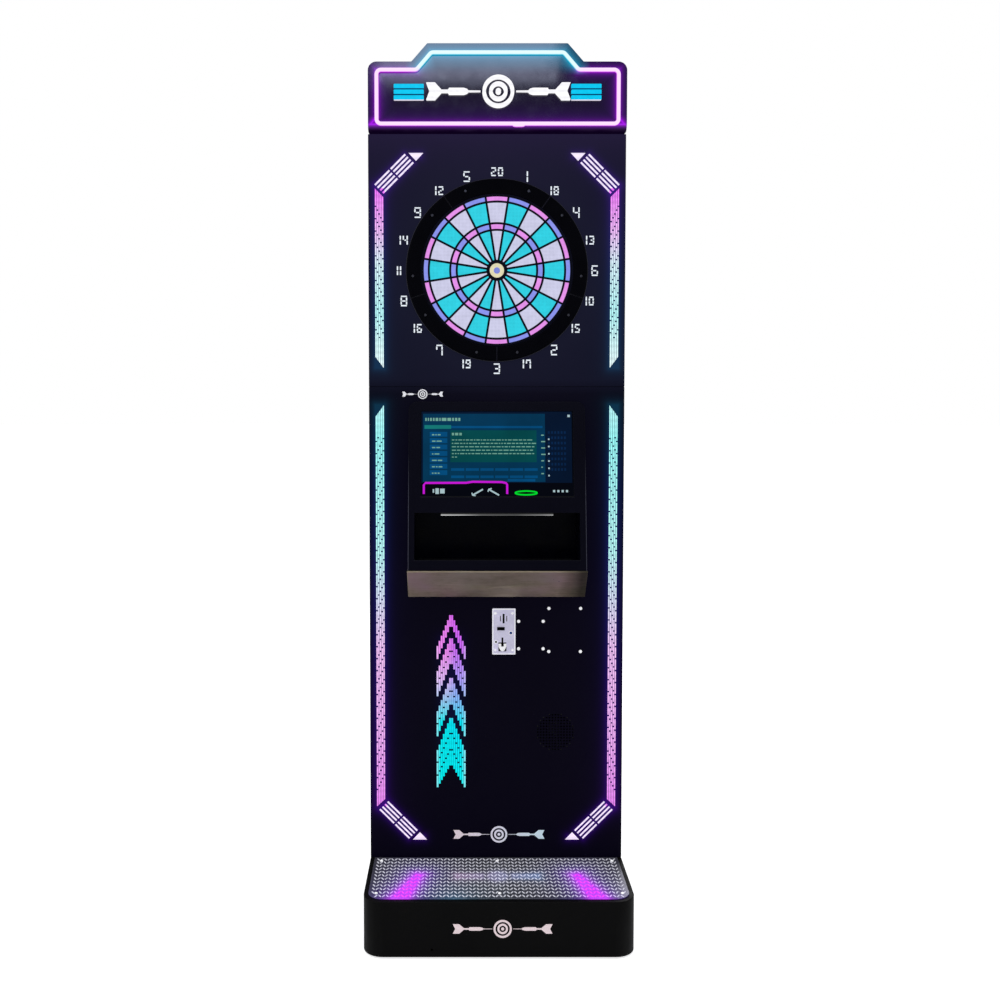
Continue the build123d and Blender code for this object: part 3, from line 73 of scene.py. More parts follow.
# ---- node graphs ----
class Graph:
    """A material made of nodes, with short calls for the ones used here."""

    def __init__(self, name, **sockets):
        self.material = bpy.data.materials.new(name)
        self.material.use_nodes = True
        self.tree = self.material.node_tree
        self.tree.nodes.clear()
        self.shader = self.add("ShaderNodeBsdfPrincipled")
        output = self.add("ShaderNodeOutputMaterial")
        self.tree.links.new(self.shader.outputs[0], output.inputs[0])
        self.coordinates = self.add("ShaderNodeTexCoord")
        self.place = self.coordinates.outputs["Object"]
        for socket, value in sockets.items():
            self.set(socket.replace("_", " "), value)

    def add(self, kind, **properties):
        node = self.tree.nodes.new(kind)
        for key, value in properties.items():
            setattr(node, key, value)
        return node

    def feed(self, socket, value):
        """Links an output to a socket, or sets the socket's own value."""
        if isinstance(value, bpy.types.NodeSocket):
            self.tree.links.new(value, socket)
        elif socket.type == "RGBA":
            socket.default_value = (*value, 1.0)
        else:
            socket.default_value = value

    def fill(self, node, *values):
        """Feeds a node's inputs in order."""
        for socket, value in zip(node.inputs, values):
            self.feed(socket, value)
        return node.outputs[0]

    def set(self, socket, value):
        self.feed(self.shader.inputs[socket], value)

    def glow(self, colour, strength=1.0):
        self.set("Emission Color", colour)
        self.set("Emission Strength", strength)

    def axes(self, kind="Object"):
        """The components of object space, or of the surface's own direction ("Normal")."""
        node = self.add("ShaderNodeSeparateXYZ")
        self.feed(node.inputs[0], self.coordinates.outputs[kind])
        return list(node.outputs)

    def stretched(self, x, y, z):
        """Object space, scaled differently along each axis."""
        node = self.add("ShaderNodeMapping")
        self.feed(node.inputs["Vector"], self.place)
        node.inputs["Scale"].default_value = (x, y, z)
        return node.outputs[0]

    def noise(self, scale, detail=3.0, rough=0.5, vector=None):
        node = self.add("ShaderNodeTexNoise")
        self.feed(node.inputs["Vector"], vector or self.place)
        self.feed(node.inputs["Scale"], scale)
        self.feed(node.inputs["Detail"], detail)
        self.feed(node.inputs["Roughness"], rough)
        return node.outputs["Fac"]

    def dots(self, pitch, vector):
        """Distance to the nearest point of a regular grid, in units of the pitch."""
        node = self.add("ShaderNodeTexVoronoi", voronoi_dimensions="3D")
        self.feed(node.inputs["Vector"], vector)
        self.feed(node.inputs["Scale"], 1.0 / pitch)
        self.feed(node.inputs["Randomness"], 0.0)
        return node.outputs["Distance"]

    def ramp(self, value, stops):
        """Colours, or greys, along a value. Each stop is (position, colour)."""
        node = self.add("ShaderNodeValToRGB")
        elements = node.color_ramp.elements
        while len(elements) < len(stops):
            elements.new(1.0)
        for element, (place, colour) in zip(elements, stops):
            grey = isinstance(colour, (int, float))
            element.position = place
            element.color = (colour,) * 3 + (1.0,) if grey else (*colour, 1.0)
        self.feed(node.inputs[0], value)
        return node.outputs["Color"]

    def spread(self, value, low, high, to_low=0.0, to_high=1.0):
        """A value from one range taken linearly to another, and held at its ends."""
        return self.fill(self.add("ShaderNodeMapRange", clamp=True),
                         value, low, high, to_low, to_high)

    def vary(self, noise, first, second):
        """The middle of a noise's range taken to two values."""
        return self.spread(noise, 0.3, 0.7, first, second)

    def mix(self, share, first, second):
        node = self.add("ShaderNodeMix", data_type="RGBA")
        self.feed(node.inputs["Factor"], share)
        self.feed(node.inputs[6], first)
        self.feed(node.inputs[7], second)
        return node.outputs[2]

    def tint(self, colour, amount):
        """A colour times a grey amount."""
        node = self.add("ShaderNodeVectorMath", operation="SCALE")
        self.feed(node.inputs["Scale"], amount)
        return self.fill(node, colour)

    def plus(self, first, second):
        """The sum of two colours."""
        return self.fill(self.add("ShaderNodeVectorMath", operation="ADD"), first, second)

    def math(self, operation, *values):
        return self.fill(self.add("ShaderNodeMath", operation=operation), *values)

    def times(self, first, second):
        return self.math("MULTIPLY", first, second)

    def minus(self, first, second):
        return self.math("SUBTRACT", first, second)

    def sum(self, first, second):
        return self.math("ADD", first, second)

    def absolute(self, value):
        return self.math("ABSOLUTE", value)

    def bump(self, height, strength, distance):
        node = self.add("ShaderNodeBump")
        self.feed(node.inputs["Strength"], strength)
        self.feed(node.inputs["Distance"], distance)
        self.feed(node.inputs["Height"], height)
        self.set("Normal", node.outputs[0])

    def outside(self, value, centre, half):
        """How far a value is outside centre +/- half."""
        off = self.absolute(self.minus(value, centre))
        return self.math("MAXIMUM", self.minus(off, half), 0.0)

    def fade(self, distance, reach):
        """1 at no distance, falling off exponentially."""
        return self.math("POWER", math.exp(-1.0), self.math("DIVIDE", distance, reach))

    def length(self, u, w):
        return self.math("SQRT", self.sum(self.times(u, u), self.times(w, w)))

    def off_spokes(self, x, z, count):
        """Distance from the nearest of some even spokes about the bull; none points up or down."""
        angle = self.math("ARCTAN2", z, x)
        turns = self.math("FRACT", self.sum(self.times(angle, count / TURN), 10.5))
        share = self.minus(0.5, self.absolute(self.minus(turns, 0.5)))
        return self.times(self.times(share, TURN / count), self.length(x, z))


# ---- coats and boards ----
def glow_around_lamps(g):
    """Light that the strips, the corner lamps and the dial throw on the coat around them."""
    x, _, z = g.axes()
    side = g.absolute(x)
    ends = [g.outside(z, (low + high) / 2, (high - low) / 2)
            for low, high in (UPPER_STRIP_Z, LOWER_STRIP_Z)]
    strip = g.length(g.outside(side, STRIP_X, STRIP_HALF), g.math("MINIMUM", *ends))
    hue = g.ramp(g.spread(z, 0.28, 2.08),
                 ((0.0, (0.11, 0.004, 0.48)), (0.22, (0.045, 0.01, 0.42)),
                  (0.5, (0.008, 0.06, 0.34)), (0.62, (0.003, 0.13, 0.26)),
                  (0.8, (0.006, 0.06, 0.3)), (0.92, (0.07, 0.006, 0.44)),
                  (1.0, (0.1, 0.006, 0.5))))
    light = g.tint(hue, g.sum(g.times(g.fade(strip, 0.0085), 0.2),
                              g.times(g.fade(strip, 0.035), 0.022)))
    slant = math.sqrt(0.5)
    for centre, up in ((UPPER_LAMP, 1), (LOWER_LAMP, -1)):
        u = g.minus(centre[0], side)
        w = g.times(g.minus(z, centre[1]), up)
        along = g.times(g.sum(u, w), slant)
        across = g.times(g.minus(w, u), slant)
        lamp = g.length(g.outside(along, 0.0, LAMP_HALF[0]), g.outside(across, 0.0, LAMP_HALF[1]))
        arrow = g.length(g.outside(u, LAMP_ARROW[0], 0.012), g.outside(w, LAMP_ARROW[1], 0.004))
        near = g.math("MINIMUM", lamp, arrow)
        light = g.plus(light, g.tint((0.02, 0.001, 0.11), g.fade(near, 0.0065)))
    chevron = g.length(g.outside(x, CHEVRON[0], 0.022), g.outside(z, CHEVRON[1], 0.17))
    hue = g.ramp(g.spread(z, 0.34, 0.82),
                 ((0.0, (0.0, 0.006, 0.014)), (0.5, (0.0005, 0.002, 0.022)),
                  (1.0, (0.003, 0.0, 0.026))))
    light = g.plus(light, g.tint(hue, g.fade(chevron, 0.012)))
    dial = g.length(x, g.minus(z, TARGET_Z))
    near_dial = g.times(g.fade(g.outside(dial, 0.25, 0.015), 0.12), 0.006)
    light = g.plus(light, g.tint((0.45, 0.5, 1.0), near_dial))
    upper = g.spread(z, *PANEL_SEAM_Z)
    light = g.plus(light, g.mix(upper, (0.0008, 0.0003, 0.003), (0.0042, 0.0044, 0.013)))
    from_header = g.fade(g.minus(PANEL_TOP_Z, z), 0.09)
    return g.plus(light, g.tint((0.01, 0.005, 0.022), from_header))


def powder_coat(name, colour, rough=0.44, specular=0.08, lit=False):
    """Satin powder coat: a fine orange peel, faint cloudiness, and rubbed spots."""
    g = Graph(name, Specular_IOR_Level=specular)
    peel = g.noise(1.0 / 0.0011, 2.0)
    g.set("Base Color", g.ramp(g.noise(7.0, 4.0), ((0.3, tuple(0.75 * c for c in colour)),
                                                   (0.75, colour))))
    rub = g.noise(38.0, 5.0, 0.6)
    g.set("Roughness", g.sum(g.spread(rub, 0.35, 0.7, rough - 0.05, rough + 0.06),
                             g.times(peel, 0.05)))
    g.bump(peel, 0.22, 0.00022)
    if lit:
        g.glow(glow_around_lamps(g))
    return g.material


def hood_coat():
    """The hood's paint, with a painted highlight: a thin lighter line along its rounded front edge,
    where that edge would catch the light.
    """
    g = Graph("hood_coat", Specular_IOR_Level=0.06)
    x, y, z = g.axes()
    low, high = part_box("monitor_hood")
    paint = g.ramp(g.noise(7.0, 4.0), ((0.3, (0.0028, 0.0026, 0.0075)),
                                       (0.75, (0.004, 0.0038, 0.01))))
    rim = g.length(g.outside(x, 0.0, high.x - HOOD_RADIUS),
                   g.math("MAXIMUM", g.minus(z, high.z - HOOD_RADIUS), 0.0))
    # painted highlight: a lighter line along the top and side edges of the hood's rounded front
    line = g.times(g.spread(rim, HOOD_RADIUS - 0.002, HOOD_RADIUS - 0.001),
                   g.spread(y, low.y + 0.03, low.y + 0.05, 1.0, 0.0))
    g.set("Base Color", g.mix(line, paint, (0.075, 0.075, 0.105)))
    peel = g.noise(900.0, 2.0)
    g.set("Roughness", g.vary(peel, 0.34, 0.42))
    g.bump(peel, 0.22, 0.00022)
    return g.material


def laminate():
    """Black melamine: a fine pressed grain running up the panel."""
    g = Graph("black_laminate", Specular_IOR_Level=0.14)
    grain = g.noise(60.0, 6.0, 0.65, g.stretched(9.0, 9.0, 0.55))
    pores = g.noise(900.0, 2.0)
    g.set("Base Color", g.ramp(grain, ((0.35, (0.0045, 0.0045, 0.006)),
                                       (0.7, (0.011, 0.011, 0.014)))))
    g.set("Roughness", g.vary(grain, 0.42, 0.56))
    g.bump(g.sum(g.times(grain, 0.6), g.times(pores, 0.4)), 0.25, 0.0003)
    return g.material


def glossy_niche():
    """The tray's painted lining, rubbed dull where darts lie."""
    g = Graph("tray_lining", Specular_IOR_Level=0.06)
    rub = g.noise(30.0, 6.0, 0.65)
    g.set("Base Color", g.ramp(rub, ((0.35, (0.001, 0.0012, 0.004)),
                                     (0.75, (0.0024, 0.0028, 0.0085)))))
    g.set("Roughness", g.spread(rub, 0.35, 0.7, 0.22, 0.42))
    g.bump(g.noise(1200.0, 2.0), 0.15, 0.0002)
    return g.material


# ---- lit parts ----
def header_acrylic():
    """Gloss black acrylic that carries a soft painted halo along the light tube, a faint painted
    glow all over, and a painted highlight streak on its rolled lower edge, where all this painted
    light is dimmed.
    """
    g = Graph("header_acrylic", Base_Color=(0.0012, 0.0008, 0.004))
    g.set("Roughness", g.vary(g.noise(24.0, 5.0, 0.6), 0.045, 0.11))
    g.set("Specular IOR Level", g.spread(g.axes("Normal")[2], -0.75, -0.12, 0.03, 0.55))
    x, _, z = g.axes()
    side = g.absolute(x)
    low = g.math("MAXIMUM", g.minus(side, NEON_HALF_W), g.minus(z, NEON_SHOULDER))
    run = NEON_SLOPE[0] - NEON_SLOPE[1]
    rise = NEON_CREST - NEON_SHOULDER
    slope = math.hypot(run, rise)
    slanted = g.sum(g.times(g.minus(side, NEON_SLOPE[0]), rise / slope),
                    g.times(g.minus(z, NEON_SHOULDER), run / slope))
    high = g.math("MAXIMUM", slanted, g.minus(z, NEON_CREST))
    edge = g.math("MAXIMUM", g.math("MINIMUM", low, high), g.minus(NEON_BOTTOM, z))
    distance = g.absolute(edge)
    crest = g.times(g.spread(z, 2.262, 2.286), g.spread(side, 0.215, 0.245, 1.0, 0.0))
    near = g.mix(crest, (0.4, 0.002, 0.8), (0.005, 0.34, 0.48))
    far = g.mix(crest, (0.032, 0.0003, 0.11), (0.006, 0.2, 0.36))
    light = g.plus(g.tint(near, g.fade(distance, 0.005)), g.tint(far, g.fade(distance, 0.024)))
    # a faint painted glow over the whole face
    light = g.plus(light, (0.0022, 0.0002, 0.009))
    # painted highlight: a thin bright streak along the rolled lower edge, wavering in strength
    painted_streak = g.fade(g.outside(z, 2.1195, 0.0008), 0.0012)
    wander = g.spread(g.noise(9.0, 2.0, 0.5, g.stretched(1.0, 0.1, 0.1)), 0.45, 0.65, 0.0, 0.16)
    light = g.plus(light, g.tint((0.55, 0.35, 0.85), g.times(painted_streak, wander)))
    # the painted light fades out down the rolled lower edge
    rolled_edge = g.spread(z, 2.12, 2.1335, 0.1, 1.0)
    g.glow(g.tint(light, rolled_edge))
    return g.material


def neon_silicone():
    """The light tube: white-hot on its front, saturated colour on its flanks."""
    g = Graph("neon_silicone", Roughness=0.35, Base_Color=(0.06, 0.05, 0.06))
    x, _, z = g.axes()
    crest = g.times(g.spread(z, 2.266, 2.28), g.spread(g.absolute(x), 0.205, 0.225, 1.0, 0.0))
    core = g.mix(crest, (0.96, 0.72, 0.98), (0.74, 0.97, 0.98))
    flank = g.mix(crest, (0.7, 0.06, 0.86), (0.04, 0.55, 0.72))
    front = g.times(g.axes("Normal")[1], -1.0)
    beads = g.noise(260.0, 1.0)
    g.glow(g.mix(g.spread(g.sum(front, g.times(beads, 0.1)), 0.3, 0.8), flank, core))
    return g.material


def lit_opal(name, strength, colour, span=None):
    """An opal sheet lit from behind, with faint spots at the lamps. The colour is one colour,
    or stops along a span of heights."""
    g = Graph(name, Roughness=0.55, Base_Color=(0.06, 0.06, 0.062))
    z = g.axes()[2]
    if span:
        colour = g.ramp(g.spread(z, *span), colour)
    wave = g.math("SINE", g.times(z, TURN / LED_PITCH))
    cloud = g.noise(140.0, 3.0)
    level = g.sum(g.spread(wave, -1.0, 1.0, 0.86, 1.0), g.times(g.minus(cloud, 0.5), 0.22))
    g.glow(g.tint(colour, level), strength)
    return g.material


def chevron_opal():
    """The chevrons' lit sheet: magenta at the top to cyan below, paler at the arms' tips."""
    g = Graph("chevron_opal", Roughness=0.6, Base_Color=(0.002, 0.002, 0.002),
              Specular_IOR_Level=0.05)
    x, _, z = g.axes()
    u = g.minus(x, CHEVRON[0])
    place = g.spread(z, 0.341, 0.822)
    left = g.ramp(place, ((0.0, (0.0, 0.9, 0.93)), (0.38, (0.0, 0.86, 0.93)),
                          (0.5, (0.32, 0.62, 0.95)), (0.62, (0.78, 0.5, 0.97)),
                          (0.8, (0.92, 0.26, 0.93)), (1.0, (0.84, 0.2, 0.93))))
    right = g.ramp(place, ((0.0, (0.0, 0.9, 0.93)), (0.38, (0.0, 0.78, 0.95)),
                           (0.5, (0.22, 0.5, 0.97)), (0.62, (0.42, 0.34, 0.98)),
                           (0.8, (0.62, 0.15, 0.96)), (1.0, (0.74, 0.12, 0.95))))
    colour = g.mix(g.spread(u, -0.012, 0.012), left, right)
    tips = g.spread(g.absolute(u), 0.03, 0.042, 0.0, 0.4)
    colour = g.mix(tips, colour, (0.8, 0.8, 0.96))
    wave = g.math("SINE", g.times(z, TURN / LED_PITCH))
    g.glow(g.tint(colour, g.spread(wave, -1.0, 1.0, 0.9, 1.0)))
    return g.material


def bar_acrylic():
    """Blue light bars whose lowest edge shows the white backing."""
    g = Graph("bar_acrylic", Roughness=0.3, Base_Color=(0.0, 0.02, 0.03),
              Specular_IOR_Level=0.1)
    under = g.spread(g.axes("Normal")[2], -0.6, -0.4, 1.0, 0.0)
    lowest = g.times(under, g.spread(g.axes()[2], 2.1965, 2.1975, 1.0, 0.0))
    level = g.vary(g.noise(90.0, 2.0), 0.9, 1.0)
    colour = g.mix(under, (0.0, 0.6, 0.92), (0.0, 0.03, 0.12))
    g.glow(g.tint(g.mix(lowest, colour, (0.88, 0.8, 0.92)), level))
    return g.material


def dial_plastic(name, colour, glow):
    """A translucent segment, lit from behind, with its grid of dart holes."""
    g = Graph(name, Specular_IOR_Level=0.2)
    x, _, z = g.axes()
    flat = g.fill(g.add("ShaderNodeCombineXYZ"), x, z)
    hole = g.spread(g.dots(0.0037, flat), 0.2, 0.34, 1.0, 0.0)
    cloud = g.noise(55.0, 4.0, 0.6)
    level = g.times(g.vary(cloud, 0.9, 1.04), g.spread(hole, 0.0, 1.0, 1.0, 0.72))
    up = g.minus(z, TARGET_Z)
    radius = g.length(x, up)
    edge = g.sum(g.off_spokes(x, up, SECTORS), g.spread(radius, 0.025, 0.0256, 1.0, 0.0))
    for ring in sorted({end for ends in RINGS.values() for end in ends}):
        edge = g.math("MINIMUM", edge, g.absolute(g.minus(radius, ring)))
    clear = g.spread(edge, 0.0025, 0.0033, 0.02, 1.0)
    g.set("Base Color", g.tint(colour, g.times(clear, g.spread(hole, 0.0, 1.0, 1.0, 0.55))))
    g.glow(g.tint(glow, g.times(level, clear)))
    g.set("Roughness", g.vary(cloud, 0.36, 0.5))
    g.bump(g.minus(1.0, hole), 0.5, 0.0006)
    return g.material


def tray_lens():
    """The slim light over the tray: a bright line along its lower edge, dimmer mid-way."""
    g = Graph("tray_light_lens", Roughness=0.4, Base_Color=(0.01, 0.01, 0.011))
    x, _, z = g.axes()
    along = g.ramp(g.spread(x, -0.15, 0.15), ((0.0, 0.8), (0.16, 0.62), (0.36, 0.16),
                                              (0.66, 0.11), (0.9, 0.3), (1.0, 0.5)))
    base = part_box("tray_light")[0].z
    g.glow(g.tint(along, g.spread(z, base + 0.0016, base + 0.003, 1.0, 0.03)))
    return g.material


def picture_layer(name, colour, gradient):
    """One colour of the display's picture, with the screen's own fine rows."""
    g = Graph(name, Base_Color=(0.0, 0.0, 0.0), Roughness=0.25, Specular_IOR_Level=0.08)
    rows = g.math("SINE", g.times(g.axes()[2], TURN / 0.0012))
    g.glow(g.tint(colour, g.times(g.spread(rows, -1.0, 1.0, 0.82, 1.0),
                                  g.vary(g.noise(11.0, 2.0), 1.0 - gradient, 1.0))))
    return g.material


# ---- plastics and foam ----
def moulded(name, colour, rough=0.5, specular=0.3):
    """Moulded plastic or rubber with a fine skin texture and slight unevenness."""
    g = Graph(name, Specular_IOR_Level=specular)
    texture = g.noise(1.0 / 0.0009, 2.0)
    cloud = g.noise(26.0, 4.0)
    g.set("Base Color", g.ramp(cloud, ((0.3, tuple(0.8 * c for c in colour)), (0.75, colour))))
    g.set("Roughness", g.sum(g.vary(cloud, rough - 0.05, rough + 0.05), g.times(texture, 0.06)))
    g.bump(texture, 0.35, 0.0002)
    return g.material


def foam():
    """Dense moulded foam: open, grainy and very matt, with painted highlights along its rim and its
    joints.
    """
    g = Graph("surround_foam", Specular_IOR_Level=0.04)
    cells = g.noise(520.0, 6.0, 0.75)
    dark = g.ramp(cells, ((0.3, (0.0004, 0.0004, 0.0012)), (0.7, (0.0024, 0.0024, 0.005))))
    x, _, z = g.axes()
    up = g.minus(z, TARGET_Z)
    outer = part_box("surround_ring")[1].x
    # painted highlights: a paler line round the outer rim and along the five joints between the arcs
    rim = g.spread(g.length(x, up), outer - 0.0018, outer - 0.0008)
    joint_highlight = g.spread(g.off_spokes(up, x, 5), 0.0008, 0.0014, 0.55, 0.0)
    g.set("Base Color", g.mix(g.math("MAXIMUM", rim, joint_highlight), dark, (0.04, 0.04, 0.05)))
    g.set("Roughness", g.vary(g.noise(18.0, 3.0), 0.72, 0.9))
    g.bump(cells, 0.6, 0.0005)
    return g.material


def circuit_board():
    """Solder mask with tracks and pads."""
    g = Graph("circuit_board", Specular_IOR_Level=0.5)
    tracks = g.add("ShaderNodeTexBrick")
    g.fill(tracks, g.place, (0.01, 0.075, 0.03), (0.014, 0.095, 0.04), (0.1, 0.16, 0.06), 90.0)
    g.set("Base Color", tracks.outputs["Color"])
    g.set("Roughness", g.vary(g.noise(200.0, 3.0), 0.3, 0.5))
    return g.material


# ---- metals and foil ----
def deck_glow(g):
    """Light of the corner lamps, the badge and the chevrons, mirrored softly in the deck."""
    x, y, _ = g.axes()
    side = g.absolute(x)
    u = g.minus(side, 0.228)
    v = g.minus(y, -0.19)
    lean_sin, lean_cos = 0.291, 0.957
    along = g.minus(g.times(u, lean_sin), g.times(v, lean_cos))
    across = g.sum(g.times(u, lean_cos), g.times(v, lean_sin))
    wide = g.spread(along, -0.1, 0.12, 0.004, 0.024)
    beyond = g.math("MAXIMUM", g.minus(g.absolute(across), wide), 0.0)
    lamp = g.length(g.outside(along, 0.03, 0.1), beyond)
    core = g.fade(lamp, 0.011)
    light = g.plus(g.tint((3.4, 0.0, 4.0), core), g.tint((0.36, 0.02, 2.4), g.fade(lamp, 0.034)))
    off = g.minus(y, -0.135)
    dart = g.length(g.outside(side, 0.074, 0.034), g.outside(off, 0.0, 0.012))
    badge = g.math("MINIMUM", g.outside(g.length(x, off), 0.014, 0.01), dart)
    hue = g.mix(g.spread(x, -0.11, 0.11), (1.2, 0.7, 1.3), (0.6, 1.0, 1.9))
    light = g.plus(light, g.tint(hue, g.fade(badge, 0.01)))
    chevrons = g.length(g.minus(x, -0.115), g.minus(y, -0.27))
    return g.plus(light, g.tint((0.08, 0.55, 0.95), g.fade(chevrons, 0.045))), core


def metal(name, colour, rough, scratch=0.4, grain=(1.0, 1.0, 1.0), fine=90.0, metallic=1.0,
          painted_glow=0.0, on_deck=False):
    """Bare or dulled metal; grain stretches its fine lines along one axis. The metal glows faintly
    with its own tone, a painted brightness; on the deck its colour and glow also carry the painted
    reflections of the lamps.
    """
    g = Graph(name, Metallic=metallic, Emission_Strength=painted_glow)
    lines = g.noise(fine, 6.0, 0.7, g.stretched(*grain))
    shade = g.sum(g.times(lines, 0.5), g.times(g.noise(9.0, 4.0, 0.6), 0.5))
    tone = g.ramp(shade, ((0.3, tuple(0.72 * c for c in colour)), (0.7, colour)))
    light = tone
    if on_deck:
        glow, core = deck_glow(g)
        # painted reflection: the colour turns magenta in the cores of the lamps' mirrored streaks
        tone = g.mix(core, tone, (0.62, 0.1, 0.7))
        light = g.plus(tone, glow)
    # painted brightness: the metal glows with its own tone, and on the deck with the painted
    # reflections too
    g.set("Emission Color", light)
    g.set("Base Color", tone)
    g.set("Roughness", g.vary(shade, rough + 0.06, rough - 0.06))
    g.bump(lines, scratch, 0.00012)
    return g.material


def brushed_chin():
    """The trim under the tray: sheet brushed sideways, with smeared, dulled patches."""
    g = Graph("brushed_chin", Metallic=1.0, Anisotropic=0.6)
    lines = g.noise(700.0, 5.0, 0.7, g.stretched(0.012, 1.0, 1.0))
    smear = g.noise(16.0, 5.0, 0.65, g.stretched(0.7, 1.0, 1.6))
    right_end = g.spread(g.axes()[0], 0.165, 0.225, 1.0, 0.3)
    shade = g.times(g.sum(g.times(lines, 0.45), g.times(smear, 0.55)), right_end)
    g.set("Base Color", g.ramp(shade, ((0.1, (0.034, 0.032, 0.024)), (0.36, (0.32, 0.27, 0.18)),
                                       (0.5, (0.52, 0.43, 0.29)), (0.62, (0.58, 0.5, 0.36)))))
    g.set("Roughness", g.vary(smear, 0.4, 0.27))
    g.bump(lines, 0.35, 0.0001)
    return g.material


def tread_metal():
    """Rolled checker plate: bright, lightly scuffed by shoes, and faintly glowing with painted
    reflections of the lamps, the badge and the chevrons.
    """
    g = Graph("tread_metal", Metallic=0.6)
    scuff = g.noise(42.0, 7.0, 0.7)
    lines = g.noise(300.0, 4.0, 0.7, g.stretched(0.08, 1.0, 1.0))
    shade = g.sum(g.times(scuff, 0.6), g.times(lines, 0.4))
    g.set("Base Color", g.ramp(shade, ((0.28, (0.1, 0.1, 0.12)), (0.55, (0.17, 0.17, 0.2)),
                                       (0.75, (0.24, 0.24, 0.28)))))
    # painted reflections of the corner lamps, the badge and the chevrons on the plate
    g.glow(g.tint(deck_glow(g)[0], 0.13))
    g.set("Roughness", g.vary(scuff, 0.24, 0.36))
    g.bump(lines, 0.15, 0.00015)
    return g.material


def badge_foil():
    """Printed silver foil with a faint pearl tint that differs from badge to badge, glowing faintly
    with its own colour, a painted sheen.
    """
    g = Graph("badge_foil", Metallic=0.35)
    x, _, z = g.axes()
    pearl = g.ramp(g.spread(x, -0.12, 0.13), ((0.0, (0.95, 0.8, 0.82)), (0.5, (0.86, 0.84, 0.95)),
                                              (1.0, (0.72, 0.92, 0.97))))
    tint = g.mix(g.spread(z, 0.12, 0.17), (0.92, 0.76, 0.78), pearl)
    tint = g.mix(g.spread(z, 1.2, 1.3), tint, (0.97, 0.97, 1.0))
    flake = g.noise(1500.0, 2.0)
    foil = g.tint(tint, g.vary(flake, 0.85, 1.0))
    g.set("Base Color", foil)
    # painted sheen: the foil glows with its own colour
    g.glow(foil, 0.34)
    g.set("Roughness", g.vary(flake, 0.34, 0.48))
    g.bump(flake, 0.2, 0.0001)
    return g.material


def make_materials():
    pink_to_cyan = ((0.0, (0.8, 0.22, 0.86)), (0.1, (0.82, 0.38, 0.86)),
                    (0.26, (0.84, 0.5, 0.86)), (0.42, (0.45, 0.9, 0.88)),
                    (0.6, (0.3, 0.92, 0.9)), (0.645, (0.45, 0.93, 0.93)),
                    (0.715, (0.8, 0.96, 0.96)), (0.8, (0.45, 0.92, 0.92)),
                    (0.88, (0.66, 0.88, 0.93)), (0.935, (0.85, 0.45, 0.9)),
                    (1.0, (0.86, 0.14, 0.92)))
    lilac = ((0.0, (0.9, 0.76, 0.98)), (1.0, (0.88, 0.78, 0.98)))
    cool_white = (0.86, 0.93, 1.0)
    return {
        "panel": powder_coat("panel_coat", (0.0024, 0.0022, 0.0056), specular=0.04, lit=True),
        "coat": powder_coat("cabinet_coat", (0.006, 0.0056, 0.0085), specular=0.14),
        "hood": hood_coat(),
        "base": powder_coat("base_coat", (0.0042, 0.004, 0.004), rough=0.42, specular=0.07),
        "laminate": laminate(),
        "acrylic": header_acrylic(),
        "neon": neon_silicone(),
        "bar": bar_acrylic(),
        "strip": lit_opal("strip_opal", 1.15, pink_to_cyan, (LOWER_STRIP_Z[0], UPPER_STRIP_Z[1])),
        "lamp": lit_opal("lamp_opal", 1.1, lilac, (0.2, 2.1)),
        "chevron": chevron_opal(),
        "numeral": lit_opal("numeral_opal", 1.0, cool_white),
        "backlight": lit_opal("backlight_opal", 0.9, cool_white),
        "lit_white": lit_opal("emblem_face", 1.05, (0.98, 0.97, 1.0)),
        "spider": moulded("spider_plastic", (0.003, 0.0034, 0.011), 0.4, 0.08),
        "foam": foam(),
        "pink": dial_plastic("dial_pink", (0.05, 0.02, 0.05), (0.84, 0.3, 0.88)),
        "violet": dial_plastic("dial_violet", (0.02, 0.025, 0.05), (0.27, 0.31, 0.9)),
        "white": dial_plastic("dial_white", (0.05, 0.05, 0.055), (0.63, 0.63, 0.84)),
        "cyan": dial_plastic("dial_cyan", (0.01, 0.04, 0.045), (0.024, 0.66, 0.8)),
        "cream": dial_plastic("dial_cream", (0.05, 0.05, 0.04), (0.8, 0.74, 0.48)),
        "lavender": dial_plastic("dial_lavender", (0.03, 0.03, 0.05), (0.2, 0.24, 0.72)),
        "tray_light": tray_lens(),
        "chin": brushed_chin(),
        "tread": tread_metal(),
        "bright": metal("bright_plate", (0.78, 0.78, 0.8), 0.2),
        "zinc": metal("zinc_casting", (0.8, 0.77, 0.96), 0.42, 0.5, fine=400.0, metallic=0.55,
                      painted_glow=0.3),
        "cap": metal("screw_heads", (0.95, 0.95, 0.96), 0.4, 0.2, metallic=0.3, painted_glow=0.55),
        "lug": metal("lug_metal", (0.92, 0.92, 0.99), 0.38, 0.3, metallic=0.15, painted_glow=0.16,
                     on_deck=True),
        "jet": moulded("jet_recess", (0.0015, 0.0015, 0.002), 0.7, 0.03),
        "screw": metal("dark_screw", (0.1, 0.1, 0.12), 0.42),
        "steel": metal("zinc_plated_steel", (0.5, 0.51, 0.53), 0.34),
        "channel": metal("extruded_channel", (0.66, 0.67, 0.69), 0.3, grain=(1, 1, 0.02)),
        "rubber": moulded("foot_rubber", (0.008, 0.008, 0.008), 0.75, 0.2),
        "black": moulded("black_plastic", (0.01, 0.01, 0.011), 0.48),
        "dark_gloss": moulded("dark_gloss_plastic", (0.004, 0.004, 0.006), 0.16, 0.45),
        "film": moulded("sensor_film", (0.42, 0.38, 0.3), 0.35, 0.4),
        "lamp_blue": moulded("coin_lamp_blue", (0.01, 0.06, 0.3), 0.12, 0.6),
        "board": circuit_board(),
        "tray": glossy_niche(),
        "badge": badge_foil(),
    }


